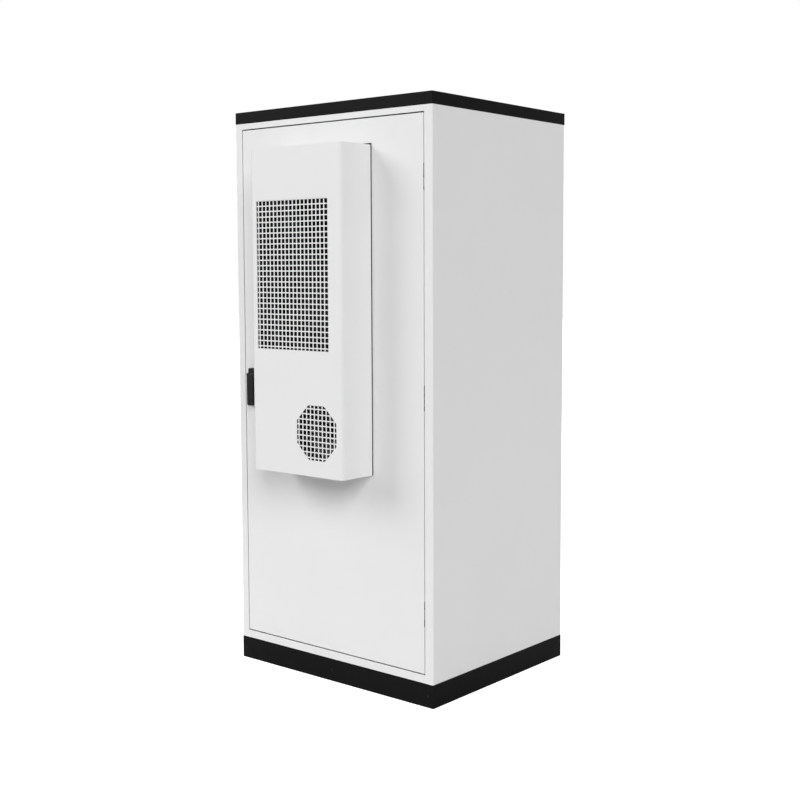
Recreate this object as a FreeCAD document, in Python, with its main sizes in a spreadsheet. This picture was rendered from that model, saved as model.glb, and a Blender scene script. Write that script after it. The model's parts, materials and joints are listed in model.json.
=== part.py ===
import FreeCAD, Part
import os
import re
import Sketcher

# Outdoor battery cabinet: a painted steel body on a black plinth, with a flush front door that
# carries an air conditioner and a swing handle. The origin is the centre of the footprint on the
# floor, +X points right as seen from the front, the front faces -Y, and +Z is up. Sizes in mm.

Vector = FreeCAD.Vector
Rotation = FreeCAD.Rotation
document = FreeCAD.newDocument("BatteryCabinet")
sheet = document.addObject("Spreadsheet::Sheet", "Sizes")

driving_sizes = [
    ("body_width", 920, "width over the side panels"),
    ("body_depth", 750, "depth over the front and rear faces"),
    ("body_height", 2000, "floor to the top of the roof"),
    ("roof_height", 41, "height of the roof cover"),
    ("plinth_height", 80, "height of the plinth"),
    ("shell_sheet", 2, "sheet of the body, the plinth and the roof"),
    ("door_sheet", 1.5, "sheet of the door and the air conditioner"),
    ("bend_radius", 5.5, "outside radius of the bent body corners"),
    ("lip_side", 33, "width of the front lip beside the door"),
    ("lip_top", 20.5, "height of the front lip above the door"),
    ("lip_bottom", 27.5, "height of the front lip below the door"),
    ("lip_overhang", 5.5, "how far the lip stands in front of the gutter wall"),
    ("door_gap", 4, "gap all round the door"),
    ("door_return", 25, "depth of the folded door edge"),
    ("gutter_depth", 55, "front face to the sealing flange"),
    ("flange_hinge", 64, "width of the sealing flange on the hinge side"),
    ("flange_latch", 102, "width of the sealing flange on the handle side"),
    ("flange_end", 64, "height of the sealing flange at top and bottom"),
    ("seal_width", 12, "width of the door seal"),
    ("seal_height", 20, "height of the door seal"),
    ("seal_lap", 3, "window edge to the near side of the seal"),
    ("seal_land", 4, "stiffener beside the seal, on each side"),
    ("seat_gap", 0.3, "clearance of a piece that is close but free"),
    ("running_gap", 0.06, "radial clearance of a pin or shaft that turns"),
    ("hinge_inset", 30, "lip edge to the hinge axis"),
    ("hinge_back", 16, "front plane to the hinge axis"),
    ("knuckle_radius", 8, "outside radius of a hinge knuckle"),
    ("knuckle_height", 30, "height of one hinge knuckle"),
    ("pin_radius", 4, "radius of the hinge pin"),
    ("hinge_margin", 170, "door end to the nearest hinge"),
    ("leaf_sheet", 4, "thickness of the hinge leaves"),
    ("wall_foam", 15, "thickness of the body insulation"),
    ("door_foam", 28, "thickness of the door insulation"),
    ("foot_size", 60, "side of a plinth corner"),
    ("foot_wall", 6, "wall of a plinth corner"),
    ("anchor_radius", 7, "radius of a floor anchor hole"),
    ("anchor_inset", 35, "outside faces to a floor anchor"),
    ("screw_head", 4.5, "head radius of a cover screw"),
    ("screw_rise", 1.5, "head height of a cover screw"),
    ("screw_radius", 2.5, "shank radius of a cover screw"),
    ("screw_length", 12, "shank length of a cover screw"),
    ("screw_inset", 21, "side face to the side screws of the plinth"),
    ("gland_bore", 11, "bore radius of a cable gland"),
    ("gland_thread", 16, "thread radius of a cable gland"),
    ("gland_nut", 21, "nut radius of a cable gland"),
    ("gland_pitch", 60, "spacing of the cable glands"),
    ("gland_count", 4, "number of cable glands"),
    ("gland_inset", 125, "rear face to the row of cable glands"),
    ("upright_side", 40, "leg of a rack upright"),
    ("upright_sheet", 3, "sheet of the rack uprights and rails"),
    ("rack_inset", 130, "side face to the inner face of an upright"),
    ("rack_front_inset", 137, "front plane to the front face of the rack"),
    ("rack_back_inset", 35, "rear face to the back face of the rack"),
    ("rack_low", 110, "floor to the lowest rail"),
    ("rail_width", 45, "width of a shelf rail"),
    ("rail_height", 33, "height of a shelf rail"),
    ("module_count", 4, "number of battery modules"),
    ("module_room", 40, "rail and air between two battery modules"),
    ("module_gap", 10, "upright to the side of a battery module"),
    ("module_back_gap", 18, "back of the rack to the back of a module"),
    ("ear_lap", 35, "front plate of a module across an upright"),
    ("equipment_bay", 489, "height above the battery modules"),
    ("earth_inset", 48, "wall insulation to the earth stud"),
    ("earth_radius", 4, "thread radius of the earth stud"),
    ("canister_radius", 45, "radius of the fire canister"),
    ("canister_length", 200, "length of the fire canister"),
    ("canister_drop", 75, "top plate to the canister's axis"),
    ("canister_inset", 100, "centre to the canister's valve end"),
    ("detector_radius", 50, "radius of the smoke detector"),
    ("detector_height", 42, "height of the smoke detector"),
    ("detector_inset", 160, "centre to the smoke detector"),
    ("lamp_length", 300, "length of the lamp"),
    ("lamp_depth", 30, "depth of the lamp"),
    ("lamp_height", 20, "height of the lamp"),
    ("pocket_width", 300, "width of the document pocket"),
    ("pocket_height", 240, "height of the document pocket"),
    ("pocket_depth", 32, "depth of the document pocket"),
    ("pocket_low", 188, "door bottom to the document pocket"),
    ("terminal_radius", 9, "radius of a battery terminal"),
    ("terminal_rise", 17, "terminal height from the front plate"),
    ("handle_grip", 12, "grip thickness of a module handle"),
    ("handle_reach", 30, "module handle reach from the front plate"),
    ("handle_span", 90, "height of a module handle"),
    ("control_height", 200, "height of the control box"),
    ("grip_width", 40, "width of the door handle's base"),
    ("grip_height", 135, "height of the door handle's base"),
    ("grip_rise", 12, "how far the handle's base stands proud"),
    ("grip_low", 949, "floor to the bottom of the handle's base"),
    ("grip_inset", 44, "door edge to the middle of its handle"),
    ("lever_width", 32, "width of the handle lever"),
    ("lever_height", 118, "height of the handle lever"),
    ("lever_thick", 11, "thickness of the handle lever"),
    ("spindle_radius", 9, "radius of the handle spindle"),
    ("crank_radius", 12, "handle axis to a drive pin"),
    ("rod_width", 10, "width of a latch rod"),
    ("rod_thick", 4, "thickness of a latch rod"),
    ("unit_left", 224, "centre to the left side of the air conditioner"),
    ("unit_width", 424, "width of the air conditioner"),
    ("unit_drop", 112, "roof cover to the top of the air conditioner"),
    ("unit_height", 1097, "height of the air conditioner"),
    ("unit_depth", 148, "how far the air conditioner stands proud"),
    ("unit_radius", 12, "outside radius of its front corners"),
    ("gasket", 4, "thickness of its door gasket"),
    ("gasket_top", 5.5, "gasket above the air conditioner"),
    ("gasket_side", 1, "gasket beside the air conditioner"),
    ("intake_left", 29, "its left side to the intake window"),
    ("intake_low", 420, "its bottom to the intake window"),
    ("intake_width", 337, "width of the intake window"),
    ("intake_height", 500, "height of the intake window"),
    ("outlet_right", 118, "its right side to the round window's centre"),
    ("outlet_low", 147, "its bottom to the round window's centre"),
    ("outlet_radius", 92, "radius of the round window"),
    ("screen_sheet", 1.2, "thickness of the perforated sheet"),
    ("screen_lap", 14, "perforated sheet beyond its window"),
    ("hole_side", 12.8, "side of a square perforation"),
    ("hole_pitch", 18.2, "spacing of the perforations"),
    ("duct_width", 276, "width of the air ducts through the door"),
    ("duct_return_low", 760, "unit bottom to the return duct"),
    ("duct_return_high", 940, "unit bottom to the top of the return duct"),
    ("duct_supply_low", 290, "unit bottom to the supply duct"),
    ("duct_supply_high", 400, "unit bottom to the top of the supply duct"),
    ("fan_radius", 82, "tip radius of the condenser fan"),
    ("fan_depth", 28, "depth of the condenser fan"),
    ("blower_radius", 24, "radius of the blower wheel"),
    ("blower_length", 250, "length of the blower wheel"),
    ("compressor_radius", 48, "radius of the compressor"),
    ("compressor_height", 190, "height of the compressor"),
    ("motor_radius", 26, "radius of the fan motor"),
    ("axle_radius", 3, "radius of the fan shaft"),
    ("hub_radius", 28, "radius of the fan hub"),
    ("blade_root", 14, "fan axis to the inner end of a blade"),
    ("blower_axle", 4, "radius of the blower shaft"),
    ("coil_depth", 22, "depth of the condenser coil"),
    ("evaporator_depth", 32, "depth of the evaporator coil"),
]
for row, (alias, number, meaning) in enumerate(driving_sizes, start=1):
    sheet.set("A%d" % row, meaning)
    sheet.set("B%d" % row, str(number))
    sheet.setAlias("B%d" % row, alias)
aliases = [alias for alias, number, meaning in driving_sizes]
document.recompute()

# Places that follow from the driving sizes. Each is a formula, and may name those above it.
places = {
    "side": "body_width / 2",
    "front": "0 - body_depth / 2",
    "back": "body_depth / 2",
    "shell_low": "plinth_height",
    "shell_high": "body_height - roof_height",
    "lip_back": "front + shell_sheet",
    "opening_side": "side - lip_side",
    "opening_low": "shell_low + lip_bottom",
    "opening_high": "shell_high - lip_top",
    "door_side": "opening_side - door_gap",
    "door_low": "opening_low + door_gap",
    "door_high": "opening_high - door_gap",
    "door_inner": "front + door_sheet",
    "gutter_side": "opening_side + lip_overhang",
    "gutter_low": "opening_low - lip_overhang",
    "gutter_high": "opening_high + lip_overhang",
    "flange_front": "front + gutter_depth",
    "flange_back": "flange_front + shell_sheet",
    "window_left": "flange_latch - gutter_side",
    "window_right": "gutter_side - flange_hinge",
    "window_low": "gutter_low + flange_end",
    "window_high": "gutter_high - flange_end",
    "seal_back": "flange_front - seat_gap",
    "seal_front": "flange_front - seal_height",
    "brace_near": "seal_lap - seal_land",
    "brace_far": "seal_lap + seal_width + seal_land",
    "brace_left": "window_left - brace_near",
    "brace_right": "window_right + brace_near",
    "brace_low": "window_low - brace_near",
    "brace_high": "window_high + brace_near",
    "foam_back": "door_inner + door_foam",
    "hinge_x": "opening_side - hinge_inset",
    "hinge_y": "front + hinge_back",
    "deck_back": "back - bend_radius",
    "rack_half": "side - rack_inset",
    "rack_y": "front + rack_front_inset",
    "rack_back": "back - rack_back_inset",
    "ear_front": "rack_y - upright_sheet",
    "module_side": "rack_half - module_gap",
    "module_back": "rack_back - module_back_gap",
    "module_pitch": "(shell_high - equipment_bay - rack_low) / module_count",
    "module_height": "module_pitch - module_room",
    "side_depth": "back - shell_sheet",
    "gland_y": "back - gland_inset",
    "anchor_x": "side - anchor_inset",
    "anchor_y": "back - anchor_inset",
    "screw_x": "side - screw_inset",
    "deck_low": "shell_high - shell_sheet",
    "deck_high": "shell_low + shell_sheet",
    "earth_x": "earth_inset + wall_foam + shell_sheet - side",
    "unit_front": "front - unit_depth",
    "unit_right": "unit_width - unit_left",
    "unit_high": "shell_high - unit_drop",
    "unit_low": "unit_high - unit_height",
    "unit_x": "unit_width / 2 - unit_left",
    "gasket_front": "front - gasket",
    "unit_back": "gasket_front - shell_sheet",
    "screen_front": "unit_front + door_sheet",
    "screen_back": "screen_front + screen_sheet",
    "outlet_x": "unit_right - outlet_right",
    "outlet_z": "unit_low + outlet_low",
    "axis_x": "grip_inset - door_side",
    "grip_high": "grip_low + grip_height",
    "grip_front": "front - grip_rise",
    "lever_back": "grip_front - 1",
    "lever_front": "lever_back - lever_thick",
    "axis_z": "grip_low + lever_height - lever_thick / 2",
    "tilt_y": "lever_back - lever_thick / 2",
    "cam_front": "front + 13",
    "cam_back": "cam_front + 4",
    "rod_front": "cam_back + 0.5",
    "rod_back": "rod_front + rod_thick",
    "crank": "crank_radius * 0.70711",
    "rod_offset": "crank + 1.5",
}


def expand(formula):
    """The formula with every place written out and every cell named in full."""
    def word(match):
        name = match.group(0)
        if name in places:
            return "(" + expand(places[name]) + ")"
        if name in aliases:
            return "Sizes." + name
        return name
    return re.sub(r"[a-z][a-z_]*", word, str(formula))


def value(formula):
    """The number that a formula gives now."""
    return float(sheet.evalExpression(expand(formula)))


def bind(item, **formulas):
    """Ties properties to formulas. x, y and z stand for the placement's base."""
    for name, formula in formulas.items():
        path = "Placement.Base." + name if name in "xyz" else name
        item.setExpression(path, expand(formula))
    return item


counter = [0]


def name_for(stem):
    """A fresh internal name for a helper object."""
    counter[0] += 1
    return "%s_%d" % (stem, counter[0])


def block(x, y, z):
    """A box between pairs of formulas, low then high, along each axis."""
    box = document.addObject("Part::Box", name_for("block"))
    lengths = {"Length": x, "Width": y, "Height": z}
    bind(box, **{key: "(%s) - (%s)" % (high, low) for key, (low, high) in lengths.items()})
    return bind(box, x=x[0], y=y[0], z=z[0])


along_x = Rotation(Vector(0, 1, 0), 90)
along_y = Rotation(Vector(1, 0, 0), -90)
along_z = Rotation()


def cylinder(rotation, radius, x, y, z):
    """A cylinder whose own axis carries a pair of formulas, low then high."""
    rod = document.addObject("Part::Cylinder", name_for("cylinder"))
    low, high = next(pair for pair in (x, y, z) if isinstance(pair, tuple))
    rod.Placement = FreeCAD.Placement(Vector(), rotation)
    bind(rod, Radius=radius, Height="(%s) - (%s)" % (high, low))
    starts = [pair[0] if isinstance(pair, tuple) else pair for pair in (x, y, z)]
    return bind(rod, x=starts[0], y=starts[1], z=starts[2])


def group(pieces):
    """Several pieces as one object, each still a solid of its own."""
    bundle = document.addObject("Part::Compound", name_for("group"))
    bundle.Links = list(pieces)
    return bundle


def cut(base, *tools):
    """The base without the tools, which don't touch one another."""
    result = document.addObject("Part::Cut", name_for("cut"))
    result.Base = base
    result.Tool = tools[0] if len(tools) == 1 else group(tools)
    return result


def join(*pieces):
    """One solid from pieces that touch."""
    result = document.addObject("Part::MultiFuse", name_for("join"))
    result.Shapes = list(pieces)
    return result


def round_edges(base, radius, chosen):
    """Rounds the straight edges for which chosen(direction, middle) holds."""
    document.recompute()
    result = document.addObject("Part::Fillet", name_for("rounded"))
    result.Base = base
    size = value(radius)
    picked = []
    for number, edge in enumerate(base.Shape.Edges, start=1):
        if edge.Curve.TypeId != "Part::GeomLine":
            continue
        start, end = edge.Vertexes[0].Point, edge.Vertexes[-1].Point
        if chosen((end - start).normalize(), (start + end) * 0.5):
            picked.append((number, size, size))
    result.Edges = picked
    return result


def tray(x, y, z, wall, faces):
    """A box with walls of one thickness, open on the named faces such as -y or +z."""
    def inner(axis, pair):
        low = pair[0] if "-" + axis in faces else "(%s) + (%s)" % (pair[0], wall)
        high = pair[1] if "+" + axis in faces else "(%s) - (%s)" % (pair[1], wall)
        return (low, high)
    return cut(block(x, y, z), block(inner("x", x), inner("y", y), inner("z", z)))


def ring(left, right, low, high, inset, reach, y):
    """A picture frame in the XZ plane, from inset to reach outside a window's edges."""
    def around(step):
        return [("(%s) - (%s)" % (left, step), "(%s) + (%s)" % (right, step)),
                ("(%s) - (%s)" % (low, step), "(%s) + (%s)" % (high, step))]
    outer, inner = around(reach), around(inset)
    return cut(block(outer[0], y, outer[1]), block(inner[0], y, inner[1]))


def origin_plane(body, role):
    return next(item for item in body.Origin.OriginFeatures if item.Role == role)


def polygon(body, role, offset, corners):
    """A closed sketch whose corners are pairs of formulas, on one of the body's origin planes."""
    sketch = body.newObject("Sketcher::SketchObject", name_for("outline"))
    sketch.AttachmentSupport = [(origin_plane(body, role), "")]
    sketch.MapMode = "FlatFace"
    sketch.setExpression("AttachmentOffset.Base.z", expand(offset))
    points = [Vector(value(across), value(up), 0) for across, up in corners]
    count = len(points)
    for index in range(count):
        sketch.addGeometry(Part.LineSegment(points[index], points[(index + 1) % count]), False)
    for index in range(count):
        sketch.addConstraint(Sketcher.Constraint("Coincident", index, 2, (index + 1) % count, 1))
    for index, pair in enumerate(corners):
        for kind, formula in zip(("DistanceX", "DistanceY"), pair):
            place = Sketcher.Constraint(kind, -1, 1, index, 1, value(formula))
            sketch.setExpression("Constraints[%d]" % sketch.addConstraint(place), expand(formula))
    return sketch


def pad(body, sketch, length):
    feature = body.newObject("PartDesign::Pad", name_for("pad"))
    feature.Profile = sketch
    bind(feature, Length=length)
    document.recompute()
    return feature


def soften(body, radius, spots):
    """Rounds the body's upright edges that stand at the given x, y pairs of formulas."""
    corners = [(value(x), value(y)) for x, y in spots]
    names = []
    for number, edge in enumerate(body.Shape.Edges, start=1):
        ends = [vertex.Point for vertex in edge.Vertexes]
        for x, y in corners:
            if all(abs(end.x - x) + abs(end.y - y) < 0.01 for end in ends):
                names.append("Edge%d" % number)
    base = body.Tip
    feature = body.newObject("PartDesign::Fillet", name_for("bend"))
    feature.Base = (base, names)
    bind(feature, Radius=radius)
    document.recompute()
    return feature


def new_body():
    return document.addObject("PartDesign::Body", name_for("body"))


nodes = []


def node(label, item):
    """Gives a finished sub-part its own name."""
    item.Label = label
    nodes.append(item)
    return item


def screw(axis_x, axis_z, face, outward):
    """A button-head screw along Y, with its head on a face that looks towards outward."""
    head = ("(%s) - screw_rise" % face, face) if outward < 0 else (face, "(%s) + screw_rise" % face)
    shank = (face, "(%s) + screw_length" % face) if outward < 0 else (
        "(%s) - screw_length" % face, face)
    return join(cylinder(along_y, "screw_head", axis_x, head, axis_z),
                cylinder(along_y, "screw_radius", axis_x, shank, axis_z))


def screw_hole(axis_x, axis_z, low, high):
    """The clear hole of one screw, along Y."""
    radius = "screw_radius + seat_gap"
    return cylinder(along_y, radius, axis_x, (low, high), axis_z)


# Body shell

def side_panel(label, sign):
    """A side sheet with its front lip and rear flange folded inwards."""
    def across(formula):
        return "%d * (%s)" % (sign, formula)
    body = new_body()
    edge, skin, flange = across("opening_side"), across("side"), across("side - shell_sheet")
    outline = [(edge, "front"), (skin, "front"), (skin, "back"), (edge, "back"),
               (edge, "back - shell_sheet"), (flange, "back - shell_sheet"),
               (flange, "lip_back"), (edge, "lip_back")]
    pad(body, polygon(body, "XY_Plane", "shell_low", outline), "shell_high - shell_low")
    soften(body, "bend_radius", [(skin, "front"), (skin, "back")])
    soften(body, "bend_radius - shell_sheet", [(flange, "lip_back"), (flange, "back - shell_sheet")])
    holes = [screw_hole(across("side - lip_side / 2"), z, "back - shell_sheet * 2", "back + 1")
             for z in rear_screw_heights]
    node(label, cut(body, *holes))


rear_screw_heights = ["shell_low + (shell_high - shell_low) * %s" % share
                      for share in ("0.04", "0.27", "0.5", "0.73", "0.96")]
side_panel("left_panel", -1)
side_panel("right_panel", 1)

between_sides = ("0 - opening_side", "opening_side")
node("top_rail", cut(
    block(between_sides, ("front", "flange_back"), ("opening_high", "shell_high")),
    block(between_sides, ("lip_back", "flange_back"), ("opening_high", "shell_high - shell_sheet"))))
node("bottom_rail", cut(
    block(between_sides, ("front", "flange_back"), ("shell_low", "opening_low")),
    block(between_sides, ("lip_back", "flange_back"), ("shell_low + shell_sheet", "opening_low"))))

gutter_x = ("0 - gutter_side", "gutter_side")
gutter_z = ("gutter_low", "gutter_high")
node("door_frame", cut(
    ring("0 - gutter_side", "gutter_side", "gutter_low", "gutter_high", "0 - flange_latch - 1",
         "shell_sheet", ("lip_back", "flange_back")),
    block(gutter_x, ("lip_back", "flange_front"), gutter_z),
    block(("window_left", "window_right"), ("flange_front", "flange_back"),
          ("window_low", "window_high"))))

rear_x = ("bend_radius + shell_sheet - side", "side - bend_radius - shell_sheet")
rear_y = ("back - shell_sheet * 2", "back - shell_sheet")
deck_z = ("shell_low", "shell_low + shell_sheet")
rear_sides = ("side - lip_side / 2", "lip_side / 2 - side")
node("rear_panel", cut(
    block(rear_x, rear_y, ("shell_low + shell_sheet", "shell_high - shell_sheet")),
    *[screw_hole(x, z, "back - shell_sheet * 3", "back") for x in rear_sides
      for z in rear_screw_heights]))

deck_x = ("shell_sheet - side", "side - shell_sheet")
deck_y = ("flange_back", "deck_back")
node("top_plate", block(deck_x, deck_y, ("shell_high - shell_sheet", "shell_high")))
roof = tray(("0 - side", "side"), ("front", "back"), ("shell_high", "body_height"),
            "shell_sheet", ["-z"])
node("roof_cover", roof)

# Floor, gland plate and glands

gland_x = "gland_pitch * gland_count / 2 + 15"
gland_hole_y = ("gland_y - gland_nut - 10", "gland_y + gland_nut + 10")
node("floor_plate", cut(
    block(deck_x, deck_y, deck_z),
    block(("0 - (%s)" % gland_x, gland_x), gland_hole_y, deck_z)))

gland_base = "deck_high"
gland_top = "shell_low + shell_sheet * 2"
gland_spots = ["gland_pitch * (%d - (gland_count - 1) / 2)" % index
               for index in range(int(value("gland_count")))]
node("gland_plate", cut(
    block(("0 - (%s) - 15" % gland_x, "%s + 15" % gland_x),
          ("gland_y - gland_nut - 25", "gland_y + gland_nut + 25"), (gland_base, gland_top)),
    *[cylinder(along_z, "gland_thread + seat_gap", x, "gland_y", (gland_base, gland_top))
      for x in gland_spots]))


def gland(x):
    """A cable gland: dome nut below the plate, locknut above it, bored right through."""
    stem = cylinder(along_z, "gland_thread", x, "gland_y", (gland_base + " - 6", gland_top + " + 9"))
    collar = cylinder(along_z, "gland_nut", x, "gland_y", (gland_base + " - 6", gland_base))
    dome = cylinder(along_z, "gland_nut - 2", x, "gland_y", (gland_base + " - 28", gland_base + " - 6"))
    lock = cylinder(along_z, "gland_nut", x, "gland_y", (gland_top, gland_top + " + 6"))
    bore = cylinder(along_z, "gland_bore", x, "gland_y", (gland_base + " - 29", gland_top + " + 10"))
    return cut(join(stem, collar, dome, lock), bore)


node("cable_glands", group([gland(x) for x in gland_spots]))
earth_y = "rack_y + upright_side + 20"
node("earth_stud", join(
    cylinder(along_z, "earth_radius", "earth_x", earth_y, ("deck_high", "deck_high + 28")),
    cylinder(along_z, "earth_radius + 5", "earth_x", earth_y, ("deck_high", "deck_high + 6"))))

# Plinth

foot_x = ("side - shell_sheet - foot_size", "side - shell_sheet")
foot_y = ("side_depth - foot_size", "side_depth")


def mirrored(pair, sign):
    """The pair itself, or the pair on the other side of the centre."""
    if sign > 0:
        return pair
    return ("0 - (%s)" % pair[1], "0 - (%s)" % pair[0])


def foot(sign_x, sign_y):
    """A plinth corner: base and top plates with two outer walls, open towards the middle."""
    x, y = mirrored(foot_x, sign_x), mirrored(foot_y, sign_y)
    faces = ["-x" if sign_x > 0 else "+x", "-y" if sign_y > 0 else "+y"]
    shell = tray(x, y, ("0", "plinth_height"), "foot_wall", faces)
    anchor = cylinder(along_z, "anchor_radius", "%d * anchor_x" % sign_x,
                      "%d * anchor_y" % sign_y, ("0 - 1", "foot_wall + 1"))
    face = "%d * side_depth" % sign_y
    drill = screw_hole("%d * screw_x" % sign_x, "plinth_height / 2",
                       "(%s) - foot_wall - 1" % face, "(%s) + foot_wall + 1" % face)
    return cut(shell, anchor, drill)


node("plinth_corners", group([foot(x, y) for x in (-1, 1) for y in (-1, 1)]))
plinth_z = ("0", "plinth_height")
plinth_screw_x = ["0 - screw_x", "0", "screw_x"]


def end_cover(sign):
    """The front or rear cover with a middle post behind it for its centre screw."""
    sheet_y = mirrored(("side_depth", "back"), sign)
    post_y = mirrored(("side_depth - screw_length - 8", "side_depth"), sign)
    plate = block(("0 - side", "side"), sheet_y, plinth_z)
    post = block(("0 - 20", "20"), post_y, plinth_z)
    drills = [screw_hole(x, "plinth_height / 2", "%d * back - 25" % sign, "%d * back + 25" % sign)
              for x in plinth_screw_x]
    return cut(join(plate, post), *drills)


side_cover_y = ("0 - side_depth", "side_depth")
side_cover_x = ("side - shell_sheet", "side")
node("plinth_covers", group(
    [end_cover(-1), end_cover(1)]
    + [block(mirrored(side_cover_x, sign), side_cover_y, plinth_z) for sign in (-1, 1)]))
node("cover_screws", group(
    [screw(x, "plinth_height / 2", "%d * back" % sign, sign) for x in plinth_screw_x
     for sign in (-1, 1)]
    + [screw(x, z, "back", 1) for x in rear_sides for z in rear_screw_heights]))

# Insulation

foam_z = ("shell_low + shell_sheet", "shell_high - shell_sheet")
foam_y = ("flange_back", "deck_back - wall_foam")
foam_x = ("side - shell_sheet - wall_foam", "side - shell_sheet")
node("wall_insulation", group([
    block(mirrored(foam_x, 1), foam_y, foam_z),
    block(mirrored(foam_x, -1), foam_y, foam_z),
    cut(block(deck_x, ("deck_back - wall_foam", "deck_back"), foam_z),
        *[screw_hole(x, z, "back - screw_length - seat_gap", "back") for x in rear_sides
          for z in rear_screw_heights])]))

# Rack and battery modules

upright_z = foam_z
upright_x = ("rack_half", "rack_half + upright_side")


def upright(sign, y, corner_y):
    """An angle section: one leg faces the modules, the other the front or the back."""
    x = mirrored(upright_x, sign)
    void = mirrored(("rack_half + upright_sheet", "rack_half + upright_side"), sign)
    return cut(block(x, y, upright_z), block(void, corner_y, upright_z))


front_leg = ("rack_y", "rack_y + upright_side")
rear_leg = ("rack_back - upright_side", "rack_back")
node("rack_uprights", group(
    [upright(sign, front_leg, ("rack_y + upright_sheet", "rack_y + upright_side"))
     for sign in (-1, 1)]
    + [upright(sign, rear_leg, ("rack_back - upright_side", "rack_back - upright_sheet"))
       for sign in (-1, 1)]))

module_count = int(value("module_count"))
rail_heights = ["rack_low + module_pitch * %d" % index for index in range(module_count + 1)]


def rail(sign, low):
    """An angle rail from the front upright to the rear one."""
    x = mirrored(("rack_half - rail_width", "rack_half"), sign)
    void = mirrored(("rack_half - rail_width", "rack_half - upright_sheet"), sign)
    y = ("rack_y", "rack_back")
    return cut(block(x, y, (low, low + " + rail_height")),
               block(void, y, (low + " + upright_sheet", low + " + rail_height")))


node("shelf_rails", group([rail(sign, low) for low in rail_heights for sign in (-1, 1)]))

ear_x = ("0 - rack_half - ear_lap", "rack_half + ear_lap")
ear_y = ("ear_front", "rack_y")
terminal_x = {-1: "90 - module_side", 1: "170 - module_side"}


def tray_box(low, height):
    """A module's case with its front plate, which laps the uprights."""
    bottom = low + " + upright_sheet"
    z = (bottom, "%s + %s" % (bottom, height))
    case = block(("0 - module_side", "module_side"), ("rack_y", "module_back"), z)
    return join(case, block(ear_x, ear_y, z))


def terminal(side, middle):
    y = ("ear_front - terminal_rise", "ear_front")
    return cylinder(along_y, "terminal_radius", terminal_x[side], y, middle)


module_middles = [low + " + upright_sheet + module_height / 2" for low in rail_heights[:-1]]
for index, low in enumerate(rail_heights[:-1]):
    middle = module_middles[index]
    node("battery_module_%d" % (index + 1), join(
        tray_box(low, "module_height"), terminal(-1, middle), terminal(1, middle)))


def pull(sign, middle):
    """A bow handle on a module's front plate."""
    x = mirrored(("module_side - handle_grip * 2", "module_side - handle_grip"), sign)
    z = (middle + " - handle_span / 2", middle + " + handle_span / 2")
    gap = (middle + " - handle_span / 2 + handle_grip", middle + " + handle_span / 2 - handle_grip")
    return cut(block(x, ("ear_front - handle_reach", "ear_front"), z),
               block(x, ("ear_front - handle_reach + handle_grip", "ear_front"), gap))


control_low = rail_heights[-1]
control_middle = control_low + " + upright_sheet + control_height / 2"
node("module_handles", group([pull(sign, middle) for middle in module_middles + [control_middle]
                              for sign in (-1, 1)]))


def link(index):
    """A bar that joins one module's terminal to the next module's."""
    x = terminal_x[1 if index % 2 else -1]
    y = ("ear_front - terminal_rise - 4", "ear_front - terminal_rise")
    return block((x + " - terminal_radius", x + " + terminal_radius"), y,
                 (module_middles[index] + " - 12", module_middles[index + 1] + " + 12"))


node("link_bars", group([link(index) for index in range(module_count - 1)]))

# Control box with its isolator and stop button, and the equipment above it

isolator_x = "130 - module_side"
isolator_front = "ear_front - 22"
stop_x = "module_side - 130"
control_face = join(
    tray_box(control_low, "control_height"),
    block((isolator_x + " - 45", isolator_x + " + 45"), (isolator_front, "ear_front"),
          (control_middle + " - 55", control_middle + " + 55")),
    cylinder(along_y, 20, stop_x, (isolator_front, "ear_front"), control_middle))
node("control_box", cut(
    control_face,
    cylinder(along_y, "spindle_radius + running_gap", isolator_x,
             (isolator_front + " - 1", isolator_front + " + 14"), control_middle),
    cylinder(along_y, "spindle_radius + running_gap", stop_x,
             (isolator_front + " - 1", isolator_front + " + 18"), control_middle)))
node("isolator_handle", join(
    cylinder(along_y, "spindle_radius", isolator_x,
             (isolator_front + " - 6", isolator_front + " + 12"), control_middle),
    cylinder(along_y, 24, isolator_x, (isolator_front + " - 12", isolator_front + " - 2"),
             control_middle),
    block((isolator_x + " - 6", isolator_x + " + 6"),
          (isolator_front + " - 28", isolator_front + " - 12"),
          (control_middle + " - 23", control_middle + " + 23"))))
node("stop_button", join(
    cylinder(along_y, "spindle_radius", stop_x, (isolator_front + " - 14", isolator_front + " + 8"),
             control_middle),
    cylinder(along_y, 19, stop_x, (isolator_front + " - 24", isolator_front + " - 10"),
             control_middle)))

canister_z = "deck_low - canister_drop"
canister_x = ("0 - canister_inset - canister_length", "0 - canister_inset")
canister_y = "rack_y + 338"


def canister_foot(x):
    """A strap foot that hangs the canister from the top plate."""
    return block((x + " - 10", x + " + 10"), (canister_y + " - 30", canister_y + " + 30"),
                 (canister_z, "deck_low"))


node("fire_canister", join(
    cylinder(along_x, "canister_radius", canister_x, canister_y, canister_z),
    cylinder(along_x, 12, (canister_x[1], canister_x[1] + " + 20"), canister_y, canister_z),
    canister_foot(canister_x[0] + " + 30"), canister_foot(canister_x[1] + " - 30")))
node("smoke_detector", join(
    cylinder(along_z, "detector_radius", "detector_inset", canister_y,
             ("deck_low - detector_height / 2", "deck_low")),
    cylinder(along_z, "detector_radius - 18", "detector_inset", canister_y,
             ("deck_low - detector_height", "deck_low - detector_height / 2"))))
node("cabin_lamp", block(("0 - lamp_length / 2", "lamp_length / 2"),
                         ("flange_back + 12", "flange_back + 12 + lamp_depth"),
                         ("deck_low - lamp_height", "deck_low")))

# Hinges: the frame leaf and pin stay with the body, the upper knuckle turns with the door

hinge_height = "knuckle_height * 2"
hinge_lows = ["door_low + hinge_margin",
              "(door_low + door_high) / 2 - knuckle_height",
              "door_high - hinge_margin - (%s)" % hinge_height]


def pin_bore(low, high):
    return cylinder(along_z, "pin_radius + running_gap", "hinge_x", "hinge_y", (low, high))


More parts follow.
